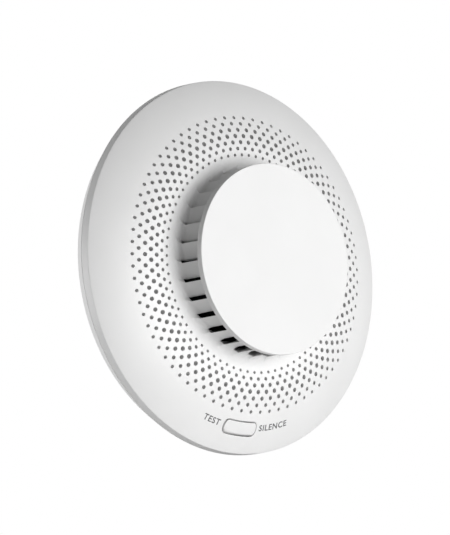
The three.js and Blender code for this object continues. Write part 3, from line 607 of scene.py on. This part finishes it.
def slot_sides(out):
    """How far a slot's heel side and tip side turn where the neck has moved out: they close up."""
    reach = min(out, SLOT_END_OUT)
    past = max(out - SLOT_END_OUT, 0) / (NECK_FILLET - SLOT_END_OUT)
    tip_r = blade[0][0]
    tip = slot_side(tip_r + reach, 1) - slot_side(tip_r, 1)
    closing = slot_side(tip_r + SLOT_END_OUT, 1) - SLOT_POINT - slot_side(NECK_R, -1)
    return closing * (reach / SLOT_END_OUT) ** 2 - SLOT_FADE * past, tip


def neck_row(out):
    """Columns (r, angle) of one sector, its slot's and then its slat's, with the neck moved out."""
    heel_turn, tip_turn = slot_sides(out)
    tip_angle, heel_angle = blade[0][1], blade[-1][1]
    slat = []
    for r, angle in blade:
        share = (angle - tip_angle) / (heel_angle - tip_angle)
        slat.append((r + out, angle + tip_turn * (1 - share) + heel_turn * share))
    r0, a0 = slat[-1][0], slat[-1][1] - SLOT_PITCH
    r1, a1 = slat[0]
    slot = []
    for k in range(SLOT_COLUMNS):
        slot.append((r0 + (r1 - r0) * k / SLOT_COLUMNS, a0 + (a1 - a0) * k / SLOT_COLUMNS))
    return slot + slat[:-1]


def level_row():
    """Columns on a plain circle just inside the perforations, the slots' own ones spread apart."""
    columns = neck_row(NECK_FILLET)
    first = columns[0][1]
    narrow = columns[SLOT_COLUMNS][1] - first
    wide = SLOT_PITCH * LEVEL_SHARE
    start = first - (wide - narrow) / 2
    slot = [i / SLOT_COLUMNS * wide for i in range(SLOT_COLUMNS)]
    slat = [wide + i / SLAT_COLUMNS * (SLOT_PITCH - wide) for i in range(SLAT_COLUMNS)]
    return [(LEVEL_R, start + turn) for turn in slot + slat]


def inside_row(share):
    """Columns from the slots' outer ends (share 0) in to the round inside of the neck (share 1)."""
    heel_end, tip_end = slot_side(NECK_R, -1), slot_side(NECK_R - WALL, 1)
    row = []
    for i, (r, angle) in enumerate(neck_row(SLOT_END_OUT)):
        if i <= SLOT_COLUMNS:
            end = heel_end + (tip_end - heel_end) * i / SLOT_COLUMNS
        else:
            k = (i - SLOT_COLUMNS) / SLAT_COLUMNS
            end = tip_end + (heel_end + SLOT_PITCH - tip_end) * k
        row.append((r + (NECK_R - WALL - r) * share, angle + (end - angle) * share))
    # The slot's far side has to stay on its slanted line, so the columns near it slip round to it.
    tip_r = row[SLOT_COLUMNS][0]
    slip = slot_side(tip_r, 1) - row[SLOT_COLUMNS][1]
    for i, (r, angle) in enumerate(row):
        near = i / SLOT_COLUMNS if i <= SLOT_COLUMNS else 1 - (i - SLOT_COLUMNS) / SLAT_COLUMNS
        row[i] = (r, angle + slip * near)
    return row


def all_round(sector):
    """One sector's columns repeated all the way round."""
    return [(r, angle + SLOT_PITCH * i) for i in range(SLOT_COUNT) for r, angle in sector]


def zip_rings(skin, outer, inner):
    """Triangles between two rings of (angle, vertex) with different counts."""
    outer = sorted((a % 360, v) for a, v in outer)
    inner = sorted((a % 360, v) for a, v in inner)
    i = j = 0
    n, m = len(outer), len(inner)
    while i < n or j < m:
        next_out = outer[(i + 1) % n][0] + 360 * ((i + 1) // n)
        next_in = inner[(j + 1) % m][0] + 360 * ((j + 1) // m)
        if j >= m or (i < n and next_out <= next_in):
            skin.face([outer[i % n][1], outer[(i + 1) % n][1], inner[j % m][1]])
            i += 1
        else:
            skin.face([outer[i % n][1], inner[(j + 1) % m][1], inner[j % m][1]])
            j += 1


def slat_strip(skin, near, far):
    """Quads between two neck rows, leaving the slots open."""
    for i in range(len(near)):
        if i % NECK_COLUMNS >= SLOT_COLUMNS:
            j = (i + 1) % len(near)
            skin.face([near[i], near[j], far[j], far[i]])


def neck(skin):
    """The level ring inside the perforations, the slats and slots, and the lining behind them."""
    def ring(row, depth):
        """One sector's columns all the way round, at a depth that may depend on the radius."""
        return [skin.at(r, a, depth(r) if callable(depth) else depth) for r, a in all_round(row)]

    foot_levels = (CREST_DEPTH, (CREST_DEPTH + SLOT_FOOT) / 2, SLOT_FOOT)
    foot = [(neck_row(foot_out(depth)), depth) for depth in foot_levels]
    outside = [ring(level_row(), CREST_DEPTH)] + [ring(row, depth) for row, depth in foot]
    inside = [ring(level_row(), lining_depth)] + [ring(row, lining_depth) for row, _ in foot]
    for curve, rows in ((outline, outside), (lining, inside)):
        depth = depth_at(curve, BAND_INNER)
        band = [(FIRST_HOLE + HALF * i, skin.at(BAND_INNER, FIRST_HOLE + HALF * i, depth))
                for i in range(2 * HOLES_ROUND)]
        zip_rings(skin, band, [(a, v) for (_, a), v in zip(all_round(level_row()), rows[0])])
        skin.strips(rows)

    outer, inner = [outside[-1]], [inside[-1]]
    fillet_top = CREST_DEPTH + NECK_FILLET
    for k in range(1, FOOT_ROWS + 1):
        share = k / FOOT_ROWS
        depth = SLOT_FOOT + (fillet_top - SLOT_FOOT) * share**FOOT_CROWDING
        outer.append(ring(neck_row(foot_out(depth)), depth))
        inner.append(ring(inside_row(share), lining_depth))
    for k in range(1, NECK_ROWS + 1):
        depth = fillet_top + (SLOT_TOP - fillet_top) * k / NECK_ROWS
        outer.append(ring(neck_row(0), depth))
        inner.append(ring(inside_row(1), depth))
    for rows in (outer, inner):
        for near, far in zip(rows, rows[1:]):
            slat_strip(skin, near, far)
    crown_out, crown_in = ring(neck_row(0), NECK_TOP), ring(inside_row(1), NECK_TOP)
    slat_strip(skin, outer[-1], crown_out)
    skin.strip(inner[-1], crown_in)
    slat_strip(skin, crown_out, crown_in)

    for number in range(SLOT_COUNT):
        slot_wall(skin, number, outer, inner, crown_out, crown_in)


def slot_wall(skin, number, outer, inner, crown_out, crown_in):
    """A slot's two sides, its ramp, and the ring that bridges it at the top, set back at NECK_R."""
    first = number * NECK_COLUMNS
    last = first + SLOT_COLUMNS
    skin.strip([row[first] for row in outer], [row[first] for row in inner], closed=False)
    for rows in (outer, inner):
        skin.face([*rows[0][first:last + 1], rows[1][last]])
        for k in range(1, RAMP_ROWS):
            skin.face([rows[0][first], rows[k][last], rows[k + 1][last]])
    skin.face([outer[0][first], outer[RAMP_ROWS][last], inner[RAMP_ROWS][last], inner[0][first]])
    heel_r, heel_angle = blade[-1][0], blade[-1][1] + SLOT_PITCH * (number - 1)
    ledge_angle = slot_side(NECK_R, 1) + SLOT_PITCH * number
    bridge, bridge_top = [outer[-1][first]], [crown_out[first]]
    for k in range(1, SLOT_COLUMNS + 1):
        share = k / SLOT_COLUMNS
        r, a = heel_r + (NECK_R - heel_r) * share, heel_angle + (ledge_angle - heel_angle) * share
        bridge.append(skin.at(r, a, SLOT_TOP))
        bridge_top.append(skin.at(r, a, NECK_TOP))
    walls = list(zip(outer, inner))[RAMP_ROWS:]
    for (low_out, low_in), (high_out, high_in) in zip(walls, walls[1:]):
        ledge = [bridge[-1]] if high_out is outer[-1] else []
        skin.face([low_out[last], low_in[last], high_in[last], *ledge, high_out[last]])
    skin.strip(bridge, bridge_top, closed=False)
    skin.face([bridge[-1], bridge_top[-1], crown_out[last], outer[-1][last]])
    skin.strip(bridge, inner[-1][first:last + 1], closed=False)
    skin.strip(bridge_top, crown_in[first:last + 1], closed=False)
    skin.face([bridge_top[-1], crown_out[last], crown_in[last]])


CORNER_SHARE = 0.4  # of a side's columns, half at each of its corners


def rounded_loop(half, corner, along, across):
    """Maps the border of a box (columns along, rows across) onto a rounded rectangle, as (u, v)."""
    straight = 1 - CORNER_SHARE

    def edge(s, length, width):
        """A point on the far side: s runs -1 to 1, and each end takes half of the corner."""
        if abs(s) <= straight:
            return s / straight * (length - corner), width
        t = math.radians(45 * (abs(s) - straight) / CORNER_SHARE)
        return math.copysign(length - corner + corner * math.sin(t), s), width - corner * (1 - math.cos(t))

    points = []
    for sign in (1, -1):
        for i in range(along):
            u, v = edge(-1 + 2 * i / along, half[0], half[1])
            points.append((sign * u, -sign * v))
        for i in range(across):
            v, u = edge(-1 + 2 * i / across, half[1], half[0])
            points.append((sign * u, sign * v))
    return np.array(points)


def button_spot(skin, u, v, curve, lift=0.0):
    """A corner given along (u) and out (v) from the button's middle, on a curve or lifted off it."""
    r = BUTTON_R + v
    return skin.at(r, BUTTON_ANGLE + math.degrees(u / BUTTON_R), depth_at(curve, r) + lift)


RIM_MARGIN = 0.9  # from the outer dish's last row to the rim
LINING_MARGIN = 0.6  # from the lining's last row to the rim's inside
PATCH_TURN = 20.8  # degrees of the patch round the button's opening
PATCH_REACH = 3.4  # how far that patch reaches in and out from the button's middle
PATCH_RINGS = 4  # from the patch's border to the opening
RIM_ROWS = (0.7, 0.5)  # how far inside the rim the face's last two rows lie
RIM_STEPS = 5
OUTER_AROUND = 2 * HOLES_ROUND * OUTER_COLUMNS
OUTER_STEP = 360 / OUTER_AROUND
PATCH_FIRST = round((BUTTON_ANGLE - PATCH_TURN / 2 - FIRST_HOLE) / OUTER_STEP)
PATCH_WIDE = round(PATCH_TURN / OUTER_STEP)
OUTER_R = np.linspace(OUTER_START, COVER_R - RIM_MARGIN, OUTER_ROWS)
PATCH_LOW = int(np.argmin(abs(OUTER_R - (BUTTON_R - PATCH_REACH))))
PATCH_HIGH = int(np.argmin(abs(OUTER_R - (BUTTON_R + PATCH_REACH))))
PATCH_TALL = PATCH_HIGH - PATCH_LOW


def outer_row(skin, r, depth):
    """One full row of the outer dish's columns."""
    return [skin.at(r, FIRST_HOLE + OUTER_STEP * i, depth) for i in range(OUTER_AROUND)]


def outer_rows(skin, curve, radii):
    """The face or the lining outside the perforated band, less the patch; gives its last row."""
    depth = depth_at(curve, BAND_OUTER)
    band = [skin.at(BAND_OUTER, FIRST_HOLE + HALF * i, depth) for i in range(2 * HOLES_ROUND)]
    rows = [outer_row(skin, r, depth_at(curve, r)) for r in radii]
    for i in range(len(band)):
        far = [rows[0][(i * OUTER_COLUMNS + k) % OUTER_AROUND] for k in range(OUTER_COLUMNS + 1)]
        skin.face([band[(i + 1) % len(band)], band[i], *far])
    for k in range(len(rows) - 1):
        for i in range(OUTER_AROUND):
            in_patch = PATCH_LOW <= k < PATCH_HIGH and (i - PATCH_FIRST) % OUTER_AROUND < PATCH_WIDE
            if not in_patch:
                j = (i + 1) % OUTER_AROUND
                skin.face([rows[k][i], rows[k][j], rows[k + 1][j], rows[k + 1][i]])
    return rows[-1]


def patch_border(radii):
    """The border of the patch, as (u, v) from the button's middle, in the order of rounded_loop."""
    ends = (PATCH_FIRST, PATCH_FIRST + PATCH_WIDE)
    u0, u1 = (math.radians(FIRST_HOLE + OUTER_STEP * end - BUTTON_ANGLE) * BUTTON_R for end in ends)
    out = [r - BUTTON_R for r in radii[PATCH_LOW:PATCH_HIGH + 1]]
    return np.array(
        [(u0 + (u1 - u0) * i / PATCH_WIDE, out[0]) for i in range(PATCH_WIDE)]
        + [(u1, out[i]) for i in range(PATCH_TALL)]
        + [(u1 - (u1 - u0) * i / PATCH_WIDE, out[-1]) for i in range(PATCH_WIDE)]
        + [(u0, out[-1 - i]) for i in range(PATCH_TALL)])


def opening_loop(clear):
    """The button's opening, with a clearance round the button."""
    half = (BUTTON_HALF[0] + clear, BUTTON_HALF[1] + clear)
    return rounded_loop(half, BUTTON_CORNER + clear, PATCH_WIDE, PATCH_TALL)


def patch(skin, curve, radii, hole):
    """Fills the patch down to the hole in it; gives the hole's own row."""
    border = patch_border(radii)
    loops = [border + (hole - border) * i / PATCH_RINGS for i in range(PATCH_RINGS + 1)]
    rings = [[button_spot(skin, u, v, curve) for u, v in loop] for loop in loops]
    skin.strips(rings)
    return rings[-1]


def rim_outline():
    """From the face round the rim's edge and its foot to the lining's corner, as (r, depth)."""
    tangent = RIM_FRONT - RIM_EASE * (1 - math.sin(RIM_LEAN)) / math.cos(RIM_LEAN)
    inside, corner = COVER_R - WALL, depth_at(lining, COVER_R - WALL)
    return [
        *((COVER_R - inset, depth_at(outline, COVER_R - inset)) for inset in RIM_ROWS),
        *arc((COVER_R - RIM_EASE, tangent), RIM_EASE, 90 - math.degrees(RIM_LEAN), 0, RIM_STEPS),
        (COVER_R, RIM_FOOT + RIM_CHAMFER),
        (COVER_R - RIM_CHAMFER, RIM_FOOT),
        (inside, RIM_FOOT),
        (inside, (RIM_FOOT + corner) / 2),
        (inside, corner),
    ]


def outer_dish(skin):
    """From the perforated band out to the rim and round to the lining, with the button's opening."""
    lining_r = OUTER_R.copy()
    lining_r[PATCH_HIGH:] = np.linspace(OUTER_R[PATCH_HIGH], COVER_R - WALL - LINING_MARGIN,
                                        OUTER_ROWS - PATCH_HIGH)
    opening, lip = opening_loop(BUTTON_GAP), opening_loop(BUTTON_GAP + OPENING_EASE)
    face_end = outer_rows(skin, outline, OUTER_R)
    eased = [patch(skin, outline, OUTER_R, lip)]
    for turn in range(30, 91, 30):
        t = math.radians(turn)
        drop = OPENING_EASE * (1 - math.cos(t))
        loop = lip + (opening - lip) * math.sin(t)
        eased.append([button_spot(skin, u, v, outline, -drop) for u, v in loop])
    lining_end = outer_rows(skin, lining, lining_r)
    eased.append(patch(skin, lining, lining_r, opening))
    skin.strips(eased)
    skin.strips([face_end, *(outer_row(skin, r, depth) for r, depth in rim_outline()), lining_end])


def front_cover():
    """The perforated, dished face with its slotted neck, its rim and its lining, as one shell."""
    skin = Skin()
    perforations(skin)
    neck(skin)
    outer_dish(skin)
    return skin.object("cover_shell", COVER_SHARP)


dressed(front_cover(), looks["white_plastic"], "head", "white_plastic", "front_cover")


# ------------------------------------------------------------------ front cap

FRONT_STEPS = 6  # round the disc's front edge
BACK_STEPS = 4


def front_cap():
    """The flat disc with eased edges, and the ring under it that plugs into the neck."""
    back_ease = DISC_EASE / 2
    return turned("cap_disc", [
        (0, DISC_FRONT),
        (DISC_R - 3 * DISC_EASE, DISC_FRONT),
        *arc((DISC_R - DISC_EASE, DISC_FRONT - DISC_EASE), DISC_EASE, 90, 0, FRONT_STEPS),
        *arc((DISC_R - back_ease, DISC_BACK + back_ease), back_ease, 0, -90, BACK_STEPS),
        (SPIGOT_OUTER, DISC_BACK),
        (SPIGOT_OUTER, CAP_FOOT),
        (SPIGOT_INNER, CAP_FOOT),
        (SPIGOT_INNER, DISC_BACK),
        (0, DISC_BACK),
    ])


dressed(front_cap(), looks["white_plastic"], "head", "white_plastic", "front_cap")


# ------------------------------------------------------------------ button and its words

BUTTON_ALONG = 48
BUTTON_ACROSS = 16
LEAST_CORNER = 0.1  # of the half height, once the edge is set in past its corners
FACE_INSETS = (1.6, 1.2, 0.9)  # rows of the button's face, from its middle out
HOLLOW_INSETS = (1.3, 1.6)  # rows of its hollow's top, inside its wall


def button_edge(inset):
    """The button's edge, set in, as lengths along and out from its middle."""
    half = (BUTTON_HALF[0] - inset, BUTTON_HALF[1] - inset)
    corner = max(BUTTON_CORNER - inset, LEAST_CORNER * half[1])
    return rounded_loop(half, corner, BUTTON_ALONG, BUTTON_ACROSS)


def face_loop(skin, inset, drop):
    """A closed row round the button, set in from its edge and dropped from its face."""
    return [button_spot(skin, u, v, outline, BUTTON_PROUD - drop) for u, v in button_edge(inset)]


def level_loop(skin, inset, depth):
    """A closed row round the button, set in from its edge, at one depth."""
    return [skin.at(BUTTON_R + v, BUTTON_ANGLE + math.degrees(u / BUTTON_R), depth)
            for u, v in button_edge(inset)]


def close_button(skin, loop):
    """Fills a slim row: quads across it, and one face at each end."""
    last = 2 * BUTTON_ALONG + BUTTON_ACROSS
    for i in range(BUTTON_ALONG):
        skin.face([loop[i], loop[i + 1], loop[last - i - 1], loop[last - i]])
    skin.face(loop[BUTTON_ALONG:BUTTON_ALONG + BUTTON_ACROSS + 1])
    skin.face(loop[last:] + loop[:1])


def prism(skin, profile, low, high):
    """A closed bar: an outline of (x, depth) corners carried from one height to another."""
    ends = [[skin.xyz(x, y, depth) for x, depth in profile] for y in (low, high)]
    skin.strip(*ends)
    for end in ends:
        skin.face(end)


def leg(skin, side):
    """The hooked leg at one end of the button, which keeps it in the cover."""
    inner = BUTTON_HALF[0] - LEG_THICKNESS
    outer = BUTTON_HALF[0] - LEG_INSET
    ear_top = EAR_FOOT + EAR_THICKNESS
    top = BUTTON_FOOT + LEG_OVERLAP
    hook = [(inner, EAR_FOOT), (EAR_OUT, EAR_FOOT), (EAR_OUT, ear_top), (outer, ear_top),
            (outer, top), (inner, top)]
    prism(skin, [(side * x, depth) for x, depth in hook],
          -BUTTON_R - LEG_THICKNESS / 2, -BUTTON_R + LEG_THICKNESS / 2)


def button():
    """A shallow rounded key that follows the face, hollow over its switch, with a hooked leg at each end."""
    skin = Skin()
    rows = [face_loop(skin, inset, 0) for inset in (*FACE_INSETS, BUTTON_EASE * 1.5)]
    for turn in range(0, 91, 18):
        t = math.radians(turn)
        rows.append(face_loop(skin, BUTTON_EASE * (1 - math.sin(t)), BUTTON_EASE * (1 - math.cos(t))))
    rows += [level_loop(skin, 0, BUTTON_FOOT), level_loop(skin, BUTTON_WALL, BUTTON_FOOT)]
    rows += [level_loop(skin, inset, PLUNGER_TOP) for inset in (BUTTON_WALL, *HOLLOW_INSETS)]
    skin.strips(rows)
    close_button(skin, rows[0])
    close_button(skin, rows[-1])
    for side in (-1, 1):
        leg(skin, side)
    return skin.object("button_key")


WORD_TOP_R = 51.45
WORD_FOOT_R = 53.3
WORD_STANDS = 0.03  # how far a letter reaches out of the face, and as far into it
LETTER_WEIGHT = 0.015  # thickening of the strokes, in the letters' own units, as are the next two
LETTER_DEPTH = 1.0  # tells the letters' fronts from their backs
LETTER_WELD = 1e-4
LETTER_SPACING = 1.12
LETTER_CURVE_STEPS = 4
WORDS = {"TEST": (-15.35, -8.5), "SILENCE": (8.1, 20.0)}  # from where to where round the face, in mm


def word(text, start, end):
    """A printed word on the face, its letters' tops towards the centre, as thin as ink."""
    curve = bpy.data.curves.new(text, "FONT")
    curve.body = text
    curve.extrude = LETTER_DEPTH
    curve.offset = LETTER_WEIGHT
    curve.space_character = LETTER_SPACING
    curve.resolution_u = LETTER_CURVE_STEPS
    rig = bpy.data.objects.new(text, curve)
    bpy.context.scene.collection.objects.link(rig)
    bpy.context.view_layer.update()
    letters = bpy.data.meshes.new_from_object(rig.evaluated_get(bpy.context.evaluated_depsgraph_get()))
    bpy.data.objects.remove(rig)
    work = bmesh.new()
    work.from_mesh(letters)
    bmesh.ops.remove_doubles(work, verts=work.verts, dist=LETTER_WELD)
    left, right = (pick(v.co.x for v in work.verts) for pick in (min, max))
    foot, top = (pick(v.co.y for v in work.verts) for pick in (min, max))
    for v in work.verts:
        along = start + (end - start) * (v.co.x - left) / (right - left)
        r = WORD_FOOT_R + (WORD_TOP_R - WORD_FOOT_R) * (v.co.y - foot) / (top - foot)
        t = math.radians(BUTTON_ANGLE) + along / BUTTON_R
        depth = depth_at(outline, r) + math.copysign(WORD_STANDS, v.co.z)
        v.co = (r * math.cos(t) * MM, -depth * MM, r * math.sin(t) * MM)
    return finished("word_" + text, work, WORD_SHARP)


dressed(button(), looks["white_plastic"], "test_button", "white_plastic", "test_button")
for text, (start, end) in WORDS.items():
    printed = word(text, start, end)
    printed.data.materials.append(ink)
    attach(printed, "head")


# ------------------------------------------------------------------ back and inside

REAR_ROUND = [(28.4, 31.2), (54.2, 61)]  # where the bracket's recess and the outer side are round
BRACKET_ROUND = [(28, 29)]  # where the bracket's edge is round

dressed(rounded_copy("rear_shell", "rear_housing", REAR_ROUND),
        looks["white_plastic"], "head", "white_plastic", "rear_housing")
dressed(rounded_copy("bracket_plate", "mounting_bracket", BRACKET_ROUND),
        looks["bracket_plastic"], "bracket", "bracket_plastic", "mounting_bracket")


def doorway_ledges():
    """Strips just inside each doorway's long edges, which close the view past the door's gaps."""
    skin = Skin()
    for node in ("battery_door_left", "battery_door_right"):
        low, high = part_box(node)
        under = -low.y / MM + LEDGE_CLEAR
        over = under + LEDGE_THICKNESS
        for edge, outward in ((low.x / MM, -1), (high.x / MM, 1)):
            near, far = edge - outward * LEDGE_REACH, edge + outward * (GAP + LEDGE_BITE)
            prism(skin, [(near, under), (far, under), (far, over), (near, over)], low.z / MM, high.z / MM)
    return skin.object("doorway_ledges")


dressed(doorway_ledges(), looks["white_plastic"], "head", "white_plastic")

for row in frame["record"]["subparts"]:
    for place in frame["nodes"][row["node"]].material_slots:
        place.material = looks[row["material_slot"]]


# ------------------------------------------------------------------ floor, light and camera

# Sizes and distances of the stage, in metres
FLOOR_SIZE = 6
FLOOR_DROP = 0.5
LAMP_SIZE = 0.5
LAMP_DISTANCE = 0.8
CAMERA_DISTANCE = 0.6
VIEW_HEIGHT = 0.1707

WORLD_LEVEL = 0.0  # brightness of the surroundings as a source of soft light
# Soft lamps: where each shines from, as right, up and towards the camera, and its watts.
LAMPS = {
    "key": ((0.74, 0.02, 0.64), 4.35),
    "front_fill": ((0.65, 0.05, 0.75), 1.9),
    "left_rim": ((-0.9, -0.1, 0.0), 3.5),
}
AIM_DEPTH = 16.3  # depth of a point on the axis, near which the camera's line of sight passes
OFF_CENTRE = (6.297, 0.876)  # how far right and up of the middle of the view that point lies
AZIMUTH = math.radians(-40.73)
ELEVATION = math.radians(-9.60)
BACK = Vector((math.sin(AZIMUTH) * math.cos(ELEVATION), -math.cos(AZIMUTH) * math.cos(ELEVATION),
               math.sin(ELEVATION)))
RIGHT = Vector((math.cos(AZIMUTH), math.sin(AZIMUTH), 0))
UP = BACK.cross(RIGHT)


def stage_floor():
    """A pale floor, well below the detector."""
    bpy.ops.mesh.primitive_plane_add(size=FLOOR_SIZE, location=(0, 0, -FLOOR_DROP))
    floor = bpy.context.object
    floor.name = "floor"
    floor.data.materials.append(material("floor_paint", (0.86, 0.86, 0.86), 0.7))


def world():
    """White surroundings for what is seen directly, mirrored or through glass, and dark for the rest."""
    made = bpy.data.worlds.new("studio")
    bpy.context.scene.world = made
    made.use_nodes = True
    nodes, links = made.node_tree.nodes, made.node_tree.links
    path = nodes.new("ShaderNodeLightPath")
    seen = path.outputs["Is Camera Ray"]
    for ray in ("Is Glossy Ray", "Is Transmission Ray"):
        either = nodes.new("ShaderNodeMath")
        either.operation = "MAXIMUM"
        links.new(seen, either.inputs[0])
        links.new(path.outputs[ray], either.inputs[1])
        seen = either.outputs[0]
    brightness = nodes.new("ShaderNodeMapRange")
    brightness.inputs["To Min"].default_value = WORLD_LEVEL
    brightness.inputs["To Max"].default_value = 1.0
    links.new(seen, brightness.inputs["Value"])
    links.new(brightness.outputs["Result"], nodes["Background"].inputs["Strength"])
    nodes["Background"].inputs["Color"].default_value = (1, 1, 1, 1)


def lamp(name, direction, watts):
    """A square soft lamp shining at the detector."""
    light = bpy.data.lights.new(name, "AREA")
    light.size = LAMP_SIZE
    light.energy = watts
    from_where = (RIGHT * direction[0] + UP * direction[1] + BACK * direction[2]).normalized()
    rig = bpy.data.objects.new(name, light)
    rig.location = from_where * LAMP_DISTANCE
    rig.rotation_euler = from_where.to_track_quat("Z", "Y").to_euler()
    bpy.context.scene.collection.objects.link(rig)


def camera():
    """A parallel view, from below and to the left of the face."""
    lens = bpy.data.cameras.new("camera")
    lens.type = "ORTHO"
    lens.ortho_scale = VIEW_HEIGHT
    view = bpy.data.objects.new("camera", lens)
    bpy.context.scene.collection.objects.link(view)
    aim = Vector((0, -AIM_DEPTH * MM, 0)) - RIGHT * OFF_CENTRE[0] * MM - UP * OFF_CENTRE[1] * MM
    view.location = aim + BACK * CAMERA_DISTANCE
    view.rotation_euler = BACK.to_track_quat("Z", "Y").to_euler()
    bpy.context.scene.camera = view


stage_floor()
world()
for name, (direction, watts) in LAMPS.items():
    lamp(name, direction, watts)
camera()
bpy.context.scene.view_settings.view_transform = "Standard"
